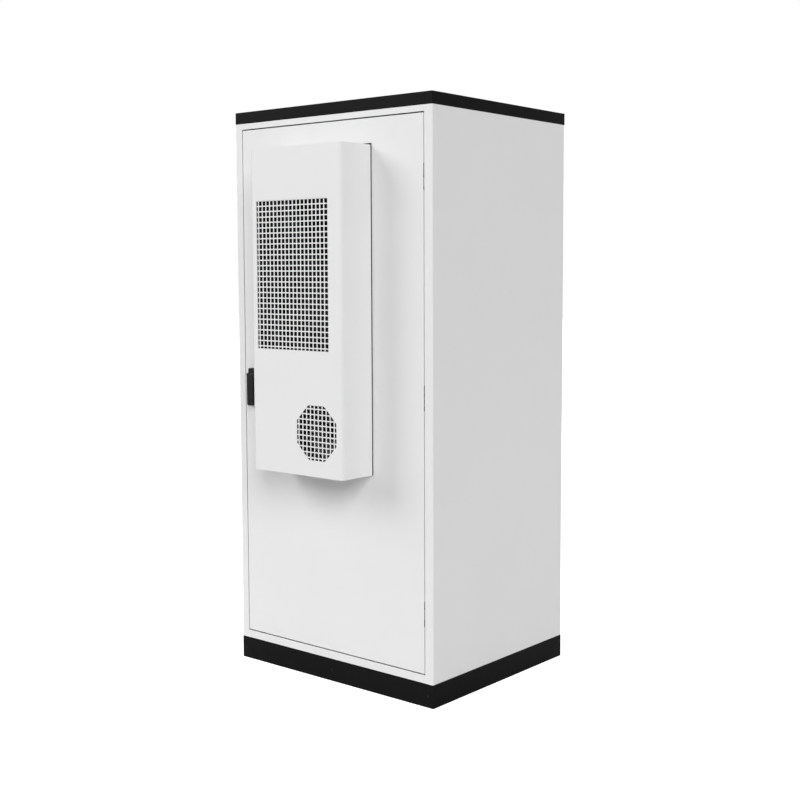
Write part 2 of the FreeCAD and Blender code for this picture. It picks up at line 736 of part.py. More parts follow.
def frame_leaf(low):
    """A knuckle on an arm that reaches back to the sealing flange."""
    z = (low, low + " + knuckle_height")
    arm_x = ("hinge_x - knuckle_radius", "hinge_x - knuckle_radius + 6")
    knuckle = cylinder(along_z, "knuckle_radius", "hinge_x", "hinge_y", z)
    arm = block(arm_x, ("hinge_y", "flange_front"), z)
    foot_plate = block((arm_x[0], "gutter_side - 2"),
                       ("flange_front - leaf_sheet", "flange_front"), z)
    return cut(join(knuckle, arm, foot_plate), pin_bore(low + " - 1", low + " + knuckle_height + 1"))


def door_leaf(low):
    """A knuckle on a plate that stands against the door's stiffener."""
    base = low + " + knuckle_height + seat_gap"
    z = (base, low + " + knuckle_height * 2")
    face = "window_right + brace_far"
    knuckle = cylinder(along_z, "knuckle_radius", "hinge_x", "hinge_y", z)
    web = block((face, "hinge_x"), ("hinge_y - leaf_sheet", "hinge_y + leaf_sheet"), z)
    plate = block((face, face + " + leaf_sheet - 1"), ("door_inner", "seal_front - 2"), z)
    return cut(join(knuckle, web, plate), pin_bore(base + " - 1", z[1] + " + 1"))


def hinge_pin(low):
    """A headed pin that stands in both knuckles."""
    shaft = cylinder(along_z, "pin_radius", "hinge_x", "hinge_y",
                     (low, low + " + knuckle_height * 2 + 3"))
    head = cylinder(along_z, "pin_radius + 2", "hinge_x", "hinge_y", (low + " - 3", low))
    return join(shaft, head)


node("hinge_frame_leaves", group([frame_leaf(low) for low in hinge_lows]))
node("hinge_door_leaves", group([door_leaf(low) for low in hinge_lows]))
node("hinge_pins", group([hinge_pin(low) for low in hinge_lows]))

# Door shell, seal, insulation and liner

duct_x = ("unit_x - duct_width / 2", "unit_x + duct_width / 2")
duct_z = [("unit_low + duct_return_low", "unit_low + duct_return_high"),
          ("unit_low + duct_supply_low", "unit_low + duct_supply_high")]


def duct(low, high, spread="0"):
    """The two ducts as blocks between two depths, widened all round by spread."""
    x = ("%s - (%s)" % (duct_x[0], spread), "%s + (%s)" % (duct_x[1], spread))
    return [block(x, (low, high), ("%s - (%s)" % (z[0], spread), "%s + (%s)" % (z[1], spread)))
            for z in duct_z]


grip_body_x = ("axis_x - grip_width / 2 + 8", "axis_x + grip_width / 2 - 8")
grip_body_z = ("grip_low + 10", "grip_high - 7")
rod_spots = {1: "axis_x - rod_offset", -1: "axis_x + rod_offset"}
rod_y = ("rod_front", "rod_back")
rod_slot_y = ("rod_front - seat_gap * 2", "rod_back + seat_gap * 2")


def rod_x(sign, spread="0"):
    spot, reach = rod_spots[sign], "rod_width / 2 + (%s)" % spread
    return ("%s - (%s)" % (spot, reach), "%s + (%s)" % (spot, reach))


shell = tray(("0 - door_side", "door_side"), ("front", "front + door_return"),
             ("door_low", "door_high"), "door_sheet", ["+y"])
notches = [block(("door_side - door_sheet - 1", "door_side + 1"), ("door_inner", "back"),
                 (low + " - 12", low + " + knuckle_height * 2 + 12")) for low in hinge_lows]
rod_slots = [block(rod_x(1, "seat_gap * 2"), rod_slot_y, ("door_high - 5", "door_high + 1")),
             block(rod_x(-1, "seat_gap * 2"), rod_slot_y, ("door_low - 1", "door_low + 5"))]
grip_hole = block((grip_body_x[0] + " - seat_gap", grip_body_x[1] + " + seat_gap"),
                  ("front - 1", "door_inner + 1"),
                  (grip_body_z[0] + " - seat_gap", grip_body_z[1] + " + seat_gap"))
node("door_panel", cut(shell, *(duct("front - 1", "door_inner + 1") + notches + rod_slots
                                + [grip_hole])))

brace = ring("window_left", "window_right", "window_low", "window_high", "brace_near", "brace_far",
             ("door_inner", "seal_front"))
groove = ring("window_left", "window_right", "window_low", "window_high",
              "brace_near + door_sheet", "brace_far - door_sheet",
              ("door_inner", "seal_front - door_sheet"))
node("door_stiffener", cut(brace, groove))
node("door_seal", ring("window_left", "window_right", "window_low", "window_high", "seal_lap",
                       "seal_lap + seal_width", ("seal_front", "seal_back")))

liner_x = ("brace_left", "brace_right")
liner_z = ("brace_low", "brace_high")
node("door_insulation", cut(block(liner_x, ("door_inner", "foam_back"), liner_z),
                            *duct("door_inner", "foam_back")))
node("door_liner", cut(block(liner_x, ("foam_back", "foam_back + door_sheet"), liner_z),
                       *duct("foam_back", "foam_back + door_sheet")))


def louvre(z):
    """A duct grille: a frame on the liner with sloping blades across it."""
    y = ("foam_back + door_sheet", "foam_back + door_sheet + 12")
    x = (duct_x[0] + " - 12", duct_x[1] + " + 12")
    rim = cut(block(x, y, (z[0] + " - 12", z[1] + " + 12")), block(duct_x, y, z))
    blades = []
    count = int(value("(%s) - (%s)" % (z[1], z[0])) // 20)
    for index in range(count):
        low = "%s + 4 + 20 * %d" % (z[0], index)
        blades.append(block((duct_x[0] + " - 1", duct_x[1] + " + 1"),
                            (y[0] + " + 2", y[0] + " + 11"), (low, low + " + 3")))
    return join(rim, *blades)


node("air_louvres", group([louvre(z) for z in duct_z]))
pocket_x = ("30 - pocket_width / 2", "30 + pocket_width / 2")
pocket_y = ("foam_back + door_sheet", "foam_back + door_sheet + pocket_depth")
pocket_z = ("door_low + pocket_low", "door_low + pocket_low + pocket_height")
node("document_pocket", tray(pocket_x, pocket_y, pocket_z, "door_sheet", ["+z"]))

# Latch rods, their guides and the keepers in the frame

rod_gap = "1.5"
rod_ends = {1: "door_high + (%s)" % rod_gap, -1: "door_low - (%s)" % rod_gap}


def latch_rod(sign):
    """A flat rod whose slotted end takes a drive pin of the handle's cam."""
    middle = "axis_z + %d * crank" % sign
    inner = "axis_x - %d * 2" % sign
    outer = "axis_x - %d * (crank_radius + 7)" % sign
    end_x = (outer, inner) if sign > 0 else (inner, outer)
    plate = block(end_x, rod_y, (middle + " - 8", middle + " + 8"))
    z = (middle, rod_ends[1]) if sign > 0 else (rod_ends[-1], middle)
    slot_in = "axis_x - %d * (crank - 3.8)" % sign
    slot_out = "axis_x - %d * (crank_radius + 3.8)" % sign
    slot = (slot_out, slot_in) if sign > 0 else (slot_in, slot_out)
    return cut(join(plate, block(rod_x(sign), rod_y, z)),
               block(slot, ("rod_front - 1", "rod_back + 1"), (middle + " - 3.8", middle + " + 3.8")))


node("upper_rod", latch_rod(1))
node("lower_rod", latch_rod(-1))


def rod_guide(sign, low):
    """A plastic guide on the door skin that a rod slides through."""
    z = (low, low + " + 20")
    base = block(rod_x(sign, "5"), ("door_inner", "rod_back + 4"), z)
    return cut(base, block(rod_x(sign, "seat_gap"), ("rod_front - seat_gap", "rod_back + seat_gap"), z))


node("rod_guides", group([rod_guide(1, "axis_z + 200"), rod_guide(1, "door_high - 80"),
                          rod_guide(-1, "axis_z - 300"), rod_guide(-1, "door_low + 60")]))


def keeper(sign):
    """A block in the gutter with a slot that stands over the end of a rod."""
    wall = "gutter_high" if sign > 0 else "gutter_low"
    face = rod_ends[sign] + (" + 1.5" if sign > 0 else " - 1.5")
    z = (face, wall) if sign > 0 else (wall, face)
    return cut(block(rod_x(sign, "5"), ("rod_front - 5", "rod_back + 5"), z),
               block(rod_x(sign, "seat_gap"), ("rod_front - seat_gap", "rod_back + seat_gap"), z))


node("rod_keepers", group([keeper(1), keeper(-1)]))

# Door switch in the gutter, which the closed door stands against

switch_x, switch_z = "120", "gutter_high - 27"
node("door_switch", cut(
    block((switch_x + " - 20", switch_x + " + 20"), ("flange_front - 25", "flange_front"),
          (switch_z + " - 10", switch_z + " + 10")),
    cylinder(along_y, 4.3, switch_x, ("flange_front - 26", "flange_front - 7"), switch_z)))
node("switch_plunger", cylinder(
    along_y, 4, switch_x, ("door_inner + seat_gap", "flange_front - 14"), switch_z))

# Swing handle: base in the door, spindle with its cam, lever and lock

base_plate = block(("axis_x - grip_width / 2", "axis_x + grip_width / 2"), ("grip_front", "front"),
                   ("grip_low", "grip_high"))
base_round = round_edges(base_plate, "6", lambda along, middle: abs(along.y) > 0.9)
base_face = round_edges(base_round, "1.5", lambda along, middle: abs(middle.y - value("grip_front")) < 0.1)
base_body = block(grip_body_x, ("front", "front + 12"), grip_body_z)
hub_back = "grip_front + 4"
node("handle_base", cut(
    join(base_face, base_body),
    cylinder(along_y, "spindle_radius + running_gap", "axis_x", ("grip_front - 1", "front + 13"),
             "axis_z"),
    cylinder(along_y, "spindle_radius + 4 + seat_gap", "axis_x",
             ("grip_front - 1", hub_back + " + seat_gap"), "axis_z")))

ear_half, ear_radius = "5", "3.5"
neck = block(("axis_x - " + ear_half, "axis_x + " + ear_half), ("tilt_y", "grip_front + 1"),
             ("axis_z - " + ear_radius, "axis_z + " + ear_radius))
neck_eye = cylinder(along_x, ear_radius, ("axis_x - " + ear_half, "axis_x + " + ear_half), "tilt_y",
                    "axis_z")
pins = [cylinder(along_y, 3, "axis_x - %d * crank" % sign, ("cam_back - 1", "rod_back + 1"),
                 "axis_z + %d * crank" % sign) for sign in (1, -1)]
hub_pin = cylinder(along_x, 2, ("axis_x - lever_width / 2 + 3", "axis_x + lever_width / 2 - 3"),
                   "tilt_y", "axis_z")
node("handle_spindle", join(
    cylinder(along_y, "spindle_radius", "axis_x", ("grip_front + 1", "cam_back"), "axis_z"),
    cylinder(along_y, "spindle_radius + 4", "axis_x", ("grip_front", hub_back), "axis_z"),
    cylinder(along_y, "crank_radius + 4", "axis_x", ("cam_front", "cam_back"), "axis_z"),
    neck, neck_eye, hub_pin, *pins))

lever_x = ("axis_x - lever_width / 2", "axis_x + lever_width / 2")
lever_blank = block(lever_x, ("lever_front", "lever_back"), ("grip_low", "axis_z"))
lever_round = round_edges(lever_blank, "7", lambda along, middle:
                          abs(along.y) > 0.9 and middle.z < value("grip_low") + 1)
lever_soft = round_edges(lever_round, "3", lambda along, middle:
                         abs(middle.y - value("lever_front")) < 0.1
                         and middle.z < value("axis_z") - 1)
lever_heel = cylinder(along_x, "lever_thick / 2", lever_x, "tilt_y", "axis_z")
lock_z = "grip_low + 22"
lock_radius = "8"
node("handle_lever", cut(
    join(lever_soft, lever_heel),
    block(("axis_x - 6", "axis_x + 6"), ("tilt_y - 4.2", "lever_back + 1"),
          ("axis_z - 15", "axis_z + lever_thick")),
    cylinder(along_x, "2 + running_gap",
             ("axis_x - lever_width / 2 + 3 - seat_gap", "axis_x + lever_width / 2 - 3 + seat_gap"),
             "tilt_y", "axis_z"),
    cylinder(along_y, lock_radius + " + running_gap", "axis_x", ("lever_front - 1", "lever_back + 1"),
             lock_z)))
node("lock_cylinder", cut(
    cylinder(along_y, lock_radius, "axis_x", ("lever_front - 0.5", "lever_back"), lock_z),
    block(("axis_x - 0.6", "axis_x + 0.6"), ("lever_front - 1", "lever_front + 5"),
          (lock_z + " - 4", lock_z + " + 4"))))

# Air conditioner on the door

gasket_sheet = block(("0 - unit_left - gasket_side", "unit_right + gasket_side"),
                     ("gasket_front", "front"), ("unit_low", "unit_high + gasket_top"))
node("ac_gasket", cut(gasket_sheet, *duct("gasket_front", "front")))
cover_in_x = ("door_sheet - unit_left", "unit_right - door_sheet")
cover_in_z = ("unit_low + door_sheet", "unit_high - door_sheet")
blower_y = "unit_back - blower_radius - 10"
blower_z = "unit_low + (duct_supply_low + duct_supply_high) / 2"
blower_x = ("unit_x - blower_length / 2", "unit_x + blower_length / 2")


def bearing_plate(x):
    """A plate that stands on the back plate and carries one end of the blower's shaft."""
    return block(x, (blower_y + " - 14", "gasket_front"), (blower_z + " - 30", blower_z + " + 30"))


node("ac_backplate", cut(
    join(cut(block(cover_in_x, ("unit_back", "gasket_front"), cover_in_z),
             *duct("unit_back", "gasket_front")),
         bearing_plate((blower_x[0] + " - 22", blower_x[0] + " - 8")),
         bearing_plate((blower_x[1] + " + 8", blower_x[1] + " + 22"))),
    cylinder(along_x, "blower_axle + running_gap", (blower_x[0] + " - 30", blower_x[1] + " + 30"), blower_y,
             blower_z)))


def rounded_prism(x, y, z, radius):
    """A block whose two upright front edges are bent round."""
    body = new_body()
    corners = [(x[0], y[0]), (x[1], y[0]), (x[1], y[1]), (x[0], y[1])]
    pad(body, polygon(body, "XY_Plane", z[0], corners), "(%s) - (%s)" % (z[1], z[0]))
    soften(body, radius, corners[:2])
    return body


intake_x = ("intake_left - unit_left", "intake_left - unit_left + intake_width")
intake_z = ("unit_low + intake_low", "unit_low + intake_low + intake_height")
window_y = ("unit_front - 1", "screen_front + 1")
node("ac_cover", cut(
    rounded_prism(("0 - unit_left", "unit_right"), ("unit_front", "gasket_front"),
                  ("unit_low", "unit_high"), "unit_radius"),
    join(rounded_prism(cover_in_x, ("screen_front", "gasket_front + 1"), cover_in_z,
                       "unit_radius - door_sheet"),
         block(intake_x, window_y, intake_z),
         cylinder(along_y, "outlet_radius", "outlet_x", window_y, "outlet_z"))))


def perforated(x, z, start_x, start_z):
    """A sheet behind a window with square holes on a square grid, whole inside its margin."""
    lap, pitch, side = value("screen_lap"), value("hole_pitch"), value("hole_side")
    low_x, high_x = value(x[0]) - lap, value(x[1]) + lap
    low_z, high_z = value(z[0]) - lap, value(z[1]) + lap
    y, depth = value("screen_front"), value("screen_sheet")

    def outline(left, right, low, high):
        corners = [Vector(left, y, low), Vector(right, y, low), Vector(right, y, high),
                   Vector(left, y, high), Vector(left, y, low)]
        return Part.makePolygon(corners)

    def starts(first, low, high):
        places_found = []
        spot = first - pitch * int((first - low) / pitch)
        while spot + side < high - 2:
            if spot > low + 2:
                places_found.append(spot)
            spot += pitch
        return places_found
    holes = [outline(left, left + side, low, low + side)
             for left in starts(value(x[0]) + start_x, value(x[0]) - side, value(x[1]) + side)
             for low in starts(value(z[0]) + start_z, value(z[0]) - side, value(z[1]) + side)]
    face = Part.makeFace([outline(low_x, high_x, low_z, high_z)] + holes, "Part::FaceMakerBullseye")
    screen = document.addObject("Part::Feature", name_for("screen"))
    screen.Shape = face.extrude(Vector(0, depth, 0))
    return screen


outlet_span_x = ("outlet_x - outlet_radius", "outlet_x + outlet_radius")
outlet_span_z = ("outlet_z - outlet_radius", "outlet_z + outlet_radius")
node("ac_screens", group([perforated(intake_x, intake_z, -6.4, -6.4),
                          perforated(outlet_span_x, outlet_span_z, -6.8, -7.0)]))

coil_y = ("screen_back + 4", "screen_back + 4 + coil_depth")
node("condenser_coil", join(
    block(intake_x, coil_y, intake_z),
    block((intake_x[0], intake_x[0] + " + 4"), ("screen_back", "unit_back"), intake_z),
    block((intake_x[1] + " - 4", intake_x[1]), ("screen_back", "unit_back"), intake_z)))
evaporator_z = ("unit_low + duct_return_low - 20", "unit_low + duct_return_high")
node("evaporator_coil", block((duct_x[0], duct_x[1]), ("unit_back - evaporator_depth", "unit_back"),
                              evaporator_z))
node("compressor", join(
    cylinder(along_z, "compressor_radius", "compressor_radius + 25 - unit_left",
             "unit_back - compressor_radius - 10",
             ("unit_low + door_sheet + 10", "unit_low + compressor_height")),
    block(("20 - unit_left", "compressor_radius * 2 + 30 - unit_left"),
          ("unit_back - compressor_radius * 2 - 15", "unit_back"),
          ("unit_low + door_sheet", "unit_low + door_sheet + 10"))))

# Condenser fan, its motor on three struts, and the blower behind the supply duct

fan_y = ("screen_back + 10", "screen_back + 10 + fan_depth")
motor_y = (fan_y[1] + " + 6", fan_y[1] + " + 44")
shroud_y = ("screen_back", fan_y[1] + " + 6")


def strut(angle):
    """A flat arm from the motor to the shroud ring."""
    arm = document.addObject("Part::Box", name_for("strut"))
    arm.Placement = FreeCAD.Placement(Vector(), Rotation(Vector(0, 1, 0), angle))
    bind(arm, Length="outlet_radius", Width="5", Height="8", x="outlet_x", y=motor_y[0],
         z="outlet_z")
    return arm


shroud = cut(cylinder(along_y, "outlet_radius + 6", "outlet_x",
                      (shroud_y[0], motor_y[0] + " + 5"), "outlet_z"),
             cylinder(along_y, "outlet_radius - 5", "outlet_x",
                      (shroud_y[0] + " - 1", motor_y[0] + " + 6"), "outlet_z"))
node("fan_motor", cut(
    join(shroud, cylinder(along_y, "motor_radius", "outlet_x", motor_y, "outlet_z"),
         *[strut(angle) for angle in (30, 150, 270)]),
    cylinder(along_y, "axle_radius + running_gap", "outlet_x",
             (motor_y[0] + " - 1", motor_y[0] + " + 30"),
             "outlet_z")))


def fan_blade(angle):
    """A pitched blade from inside the hub to the tip."""
    blade = document.addObject("Part::Box", name_for("blade"))
    turn = Rotation(Vector(0, 1, 0), angle).multiply(Rotation(Vector(1, 0, 0), 32))
    blade.Placement = FreeCAD.Placement(Vector(), turn)
    return bind(blade, Length="fan_radius - 2 - blade_root", Width="2.5", Height="fan_depth",
                x="outlet_x + blade_root * cos(%d)" % angle, y=fan_y[0] + " + fan_depth / 2 + 4",
                z="outlet_z - blade_root * sin(%d)" % angle)


node("condenser_fan", join(
    cylinder(along_y, "hub_radius", "outlet_x", fan_y, "outlet_z"),
    cylinder(along_y, "axle_radius", "outlet_x", (fan_y[0], motor_y[0] + " + 25"), "outlet_z"),
    *[fan_blade(72 * index + 10) for index in range(5)]))


def blower_bar(angle):
    """One bar right across the blower wheel's cage."""
    bar = document.addObject("Part::Box", name_for("bar"))
    turn = Rotation(Vector(1, 0, 0), angle)
    bar.Placement = FreeCAD.Placement(Vector(), turn)
    return bind(bar, Length="blower_length", Width="blower_radius", Height="2", x=blower_x[0],
                y=blower_y, z=blower_z)


node("blower_wheel", join(
    *([blower_bar(60 * index) for index in range(6)]
      + [cylinder(along_x, "blower_radius", (x, x + " + 3"), blower_y, blower_z)
         for x in (blower_x[0], "unit_x - 1.5", blower_x[1] + " - 3")]
      + [cylinder(along_x, "blower_axle", (blower_x[0] + " - 20", blower_x[1] + " + 20"), blower_y,
                  blower_z)])))

document.recompute()
labels = [item.Label for item in nodes]
for item in document.Objects:
    if "Invalid" in item.State or "Error" in item.State:
        raise RuntimeError("%s did not rebuild: %s" % (item.Label, item.State))
for item in nodes:
    if item.Shape.isNull() or not item.Shape.isValid() or not item.Shape.Solids:
        raise RuntimeError("%s has no valid solid" % item.Label)
if len(set(labels)) != len(labels):
    raise RuntimeError("two sub-parts share a name")

os.makedirs("parts", exist_ok=True)
for item in nodes:
    item.Shape.exportStep("parts/%s.step" % item.Label)
    print("%-22s %2d solids %9.1f cm3" % (item.Label, len(item.Shape.Solids), item.Shape.Volume / 1000))
print(len(nodes), "sub-parts")
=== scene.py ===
import json
import math

import bmesh
import bpy
import numpy as np
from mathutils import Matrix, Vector

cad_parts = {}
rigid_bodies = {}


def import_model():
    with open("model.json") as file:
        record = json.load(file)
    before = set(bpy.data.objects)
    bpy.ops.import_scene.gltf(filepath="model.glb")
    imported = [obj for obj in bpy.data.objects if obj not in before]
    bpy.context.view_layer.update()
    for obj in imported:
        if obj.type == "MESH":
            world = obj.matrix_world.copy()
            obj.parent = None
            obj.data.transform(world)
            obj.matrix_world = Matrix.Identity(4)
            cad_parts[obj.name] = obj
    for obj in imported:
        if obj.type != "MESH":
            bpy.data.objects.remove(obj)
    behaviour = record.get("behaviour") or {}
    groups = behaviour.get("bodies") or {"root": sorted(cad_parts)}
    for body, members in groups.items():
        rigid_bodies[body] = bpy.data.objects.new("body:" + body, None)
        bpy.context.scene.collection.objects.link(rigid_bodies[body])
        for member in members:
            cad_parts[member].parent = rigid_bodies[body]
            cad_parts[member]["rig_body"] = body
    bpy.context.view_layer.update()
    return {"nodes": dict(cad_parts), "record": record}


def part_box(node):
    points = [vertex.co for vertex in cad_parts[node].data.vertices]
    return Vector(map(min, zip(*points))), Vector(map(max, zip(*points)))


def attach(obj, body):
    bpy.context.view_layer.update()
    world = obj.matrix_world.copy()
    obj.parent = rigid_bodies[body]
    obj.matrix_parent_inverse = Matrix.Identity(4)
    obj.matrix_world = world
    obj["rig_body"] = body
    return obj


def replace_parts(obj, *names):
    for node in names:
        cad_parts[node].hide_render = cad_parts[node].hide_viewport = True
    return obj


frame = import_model()
nodes = frame["nodes"]
slotOf = {part["node"]: part["material_slot"] for part in frame["record"]["subparts"]}
print("frame loaded:", len(nodes), "nodes")


# Where a CAD node lies: its lowest and its highest corner, as arrays
def placeOf(nodeName):
    return [np.array(corner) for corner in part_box(nodeName)]


# Half of the sum of the node's two corners
def middleOf(nodeName):
    return sum(placeOf(nodeName)) / 2


# An object of the given data, linked into the scene
def newObject(name, data):
    made = bpy.data.objects.new(name, data)
    bpy.context.scene.collection.objects.link(made)
    return made


# Camera and light

cameraValues = {
    "place": (3.0106, -3.4543, 1.4290),
    "towards": (-0.62250606, 0.77774972, -0.0871297),
    "lens": 56.3035,
    "shiftX": -0.06684,
    "shiftY": -0.0226,
    "sensor": 36,
    "sight": 200,
}

# Far lights are given as turn, rise, spread and strength, the softbox as place, width, height, watts
# and the point that it is aimed at
lightValues = {
    "worldLevel": 0.16, "worldMirror": 0.5,
    "keyLight": (-48, 30, 32, 1.6), "sideLight": (50, 28, 32, 2.2),
    "backSoftbox": ((-1.5, 6.0, 3.5), 4.0, 3.5, 320, (0, 0, 1.0)),
    "floorSize": 60.0, "floorColour": (0.6, 0.6, 0.6), "floorLift": 0.86, "mirrorLift": 0.1,
}


# Turns a camera or a lamp so that it looks along a direction
def turnTowards(made, towards):
    made.rotation_mode = "QUATERNION"
    made.rotation_quaternion = Vector(towards).to_track_quat("-Z", "Y")


# The photograph's camera: a place, a way to look and a lens, its frame shifted by shares of its width
def makeCamera(values):
    camera = newObject("photoCamera", bpy.data.cameras.new("photoCamera"))
    camera.location = values["place"]
    turnTowards(camera, values["towards"])
    camera.data.lens = values["lens"]
    camera.data.sensor_width = values["sensor"]
    camera.data.shift_x = values["shiftX"]
    camera.data.shift_y = values["shiftY"]
    camera.data.clip_end = values["sight"]
    bpy.context.scene.camera = camera


# A large far light: it comes from a turn off the front and a rise over the floor, in degrees
def makeFarLight(name, turn, rise, spread, strength):
    lamp = bpy.data.lights.new(name, "SUN")
    lamp.angle = math.radians(spread)
    lamp.energy = strength
    turn, rise = math.radians(turn), math.radians(rise)
    turnTowards(newObject(name, lamp), (-math.sin(turn) * math.cos(rise),
                                        math.cos(turn) * math.cos(rise), -math.sin(rise)))


# A rectangular lamp at a place, turned to face the point that it is aimed at
def makeSoftbox(name, place, width, height, watts, aim):
    lamp = bpy.data.lights.new(name, "AREA")
    lamp.shape = "RECTANGLE"
    lamp.size = width
    lamp.size_y = height
    lamp.energy = watts
    softbox = newObject(name, lamp)
    softbox.location = place
    turnTowards(softbox, Vector(aim) - Vector(place))


# The given share for rays from the camera, and another for rays from a mirror or through glass
def seenDirectly(tree, byCamera, byMirror):
    path = tree.nodes.new("ShaderNodeLightPath")
    seen = None
    for output, share in (("Is Camera Ray", byCamera), ("Is Glossy Ray", byMirror),
                          ("Is Transmission Ray", byMirror)):
        scaled = tree.nodes.new("ShaderNodeMath")
        scaled.operation = "MULTIPLY"
        scaled.inputs[1].default_value = share
        tree.links.new(path.outputs[output], scaled.inputs[0])
        if seen is None:
            seen = scaled.outputs[0]
            continue
        either = tree.nodes.new("ShaderNodeMath")
        either.operation = "MAXIMUM"
        tree.links.new(seen, either.inputs[0])
        tree.links.new(scaled.outputs[0], either.inputs[1])
        seen = either.outputs[0]
    return seen


# A world that is white to the camera, dimmer in mirrors and dimmest as light
def makeWorld(values):
    world = bpy.data.worlds.new("whiteStudio")
    world.use_nodes = True
    bpy.context.scene.world = world
    tree = world.node_tree
    background = tree.nodes["Background"]
    background.inputs["Color"].default_value = (1, 1, 1, 1)
    strength = tree.nodes.new("ShaderNodeMapRange")
    strength.inputs["To Min"].default_value = values["worldLevel"]
    strength.inputs["To Max"].default_value = 1.0
    tree.links.new(seenDirectly(tree, 1.0, values["worldMirror"]), strength.inputs["Value"])
    tree.links.new(strength.outputs["Result"], background.inputs["Strength"])


# A pale floor: it takes the shadow, and a glow that only the camera and mirrors see lifts it to white
def makeFloor(values):
    half = values["floorSize"] / 2
    mesh = bpy.data.meshes.new("studioFloor")
    mesh.from_pydata([(-half, -half, 0), (half, -half, 0), (half, half, 0), (-half, half, 0)], [],
                     [(0, 1, 2, 3)])
    floor = newObject("studioFloor", mesh)
    material = bpy.data.materials.new("studioFloor")
    material.use_nodes = True
    tree = material.node_tree
    tree.nodes.clear()
    diffuse = tree.nodes.new("ShaderNodeBsdfDiffuse")
    diffuse.inputs["Color"].default_value = (*values["floorColour"], 1)
    glow = tree.nodes.new("ShaderNodeEmission")
    both = tree.nodes.new("ShaderNodeAddShader")
    output = tree.nodes.new("ShaderNodeOutputMaterial")
    tree.links.new(seenDirectly(tree, values["floorLift"], values["mirrorLift"]),
                   glow.inputs["Strength"])
    tree.links.new(diffuse.outputs[0], both.inputs[0])
    tree.links.new(glow.outputs[0], both.inputs[1])
    tree.links.new(both.outputs[0], output.inputs["Surface"])
    mesh.materials.append(material)


bpy.context.scene.view_settings.view_transform = "Standard"
makeCamera(cameraValues)
makeWorld(lightValues)
makeFloor(lightValues)
for name in ("keyLight", "sideLight"):
    makeFarLight(name, *lightValues[name])
makeSoftbox("backSoftbox", *lightValues["backSoftbox"])
print("camera and light ready")


# Finishes: each one is worked out in metres on the object's own coordinates

mostOfNoise = (0.3, 0.7)  # nearly all values of a noise lie between these two


# A material whose shader holds plain numbers, with its tree and object coordinate for the pattern
def startFinish(name, colour, rough, metal=0.0, **values):
    material = bpy.data.materials.new(name)
    material.use_nodes = True
    tree = material.node_tree
    shader = tree.nodes["Principled BSDF"]
    shader.inputs["Base Color"].default_value = (*colour, 1)
    shader.inputs["Roughness"].default_value = rough
    shader.inputs["Metallic"].default_value = metal
    for socket, value in values.items():
        shader.inputs[socket.replace("_", " ")].default_value = value
    return material, tree, shader, tree.nodes.new("ShaderNodeTexCoord").outputs["Object"]


# The place with each axis multiplied by its own amount
def stretched(tree, place, amounts):
    mapping = tree.nodes.new("ShaderNodeMapping")
    mapping.inputs["Scale"].default_value = amounts
    tree.links.new(place, mapping.inputs["Vector"])
    return mapping.outputs["Vector"]


# Cloudy noise with the given number of cells to a metre
def noiseOn(tree, place, perMetre, detail):
    noise = tree.nodes.new("ShaderNodeTexNoise")
    noise.inputs["Scale"].default_value = perMetre
    noise.inputs["Detail"].default_value = detail
    tree.links.new(place, noise.inputs["Vector"])
    return noise.outputs["Fac"]


# Cells to a metre: how far each point lies from its cell's middle, or each cell's own colour
def cellsOn(tree, place, perMetre, output="Distance"):
    cells = tree.nodes.new("ShaderNodeTexVoronoi")
    cells.inputs["Scale"].default_value = perMetre
    tree.links.new(place, cells.inputs["Vector"])
    return cells.outputs[output]


# Sine stripes along one axis, bent a little by a wobble
def stripesOn(tree, place, perMetre, wobble=0.0):
    wave = tree.nodes.new("ShaderNodeTexWave")
    wave.inputs["Scale"].default_value = perMetre
    wave.inputs["Distortion"].default_value = wobble
    tree.links.new(place, wave.inputs["Vector"])
    return wave.outputs["Fac"]


# Stretches a pattern's values from one range to another
def rangeOn(tree, value, low, high, fromLow=mostOfNoise[0], fromHigh=mostOfNoise[1]):
    node = tree.nodes.new("ShaderNodeMapRange")
    for socket, number in (("From Min", fromLow), ("From Max", fromHigh), ("To Min", low),
                           ("To Max", high)):
        node.inputs[socket].default_value = number
    tree.links.new(value, node.inputs["Value"])
    return node.outputs["Result"]


# Varies the roughness round its middle value, by the two amounts of a spread
def glossFrom(tree, value, rough, spread, shader, ends=mostOfNoise):
    gloss = rangeOn(tree, value, rough + spread[0], rough + spread[1], *ends)
    tree.links.new(gloss, shader.inputs["Roughness"])


# Blends from the first colour to the second as a pattern's value rises
def colourBetween(tree, value, first, second, shader):
    ramp = tree.nodes.new("ShaderNodeValToRGB")
    for element, position, colour in zip(ramp.color_ramp.elements, mostOfNoise, (first, second)):
        element.position = position
        element.color = (*colour, 1)
    tree.links.new(value, ramp.inputs["Fac"])
    tree.links.new(ramp.outputs["Color"], shader.inputs["Base Color"])


# Lets a pattern raise the surface by a depth in metres
def bumpFrom(tree, value, depth, strength, shader):
    bump = tree.nodes.new("ShaderNodeBump")
    bump.inputs["Distance"].default_value = depth
    bump.inputs["Strength"].default_value = strength
    tree.links.new(value, bump.inputs["Height"])
    tree.links.new(bump.outputs["Normal"], shader.inputs["Normal"])


coatValues = {"cloud": (3.5, 3.0), "sheen": (24.0, 4.0), "sheenSpread": (-0.04, 0.05),
              "peelDetail": 1.0, "peelStrength": 0.35}


# Powder coat: a fine orange peel, with a faint cloud in its colour and gloss
def powderCoat(name, dark, light, rough, perMetre, depth, **values):
    material, tree, shader, place = startFinish(name, light, rough, **values)
    colourBetween(tree, noiseOn(tree, place, *coatValues["cloud"]), dark, light, shader)
    glossFrom(tree, noiseOn(tree, place, *coatValues["sheen"]), rough, coatValues["sheenSpread"],
              shader)
    bumpFrom(tree, noiseOn(tree, place, perMetre, coatValues["peelDetail"]), depth,
             coatValues["peelStrength"], shader)
    return material


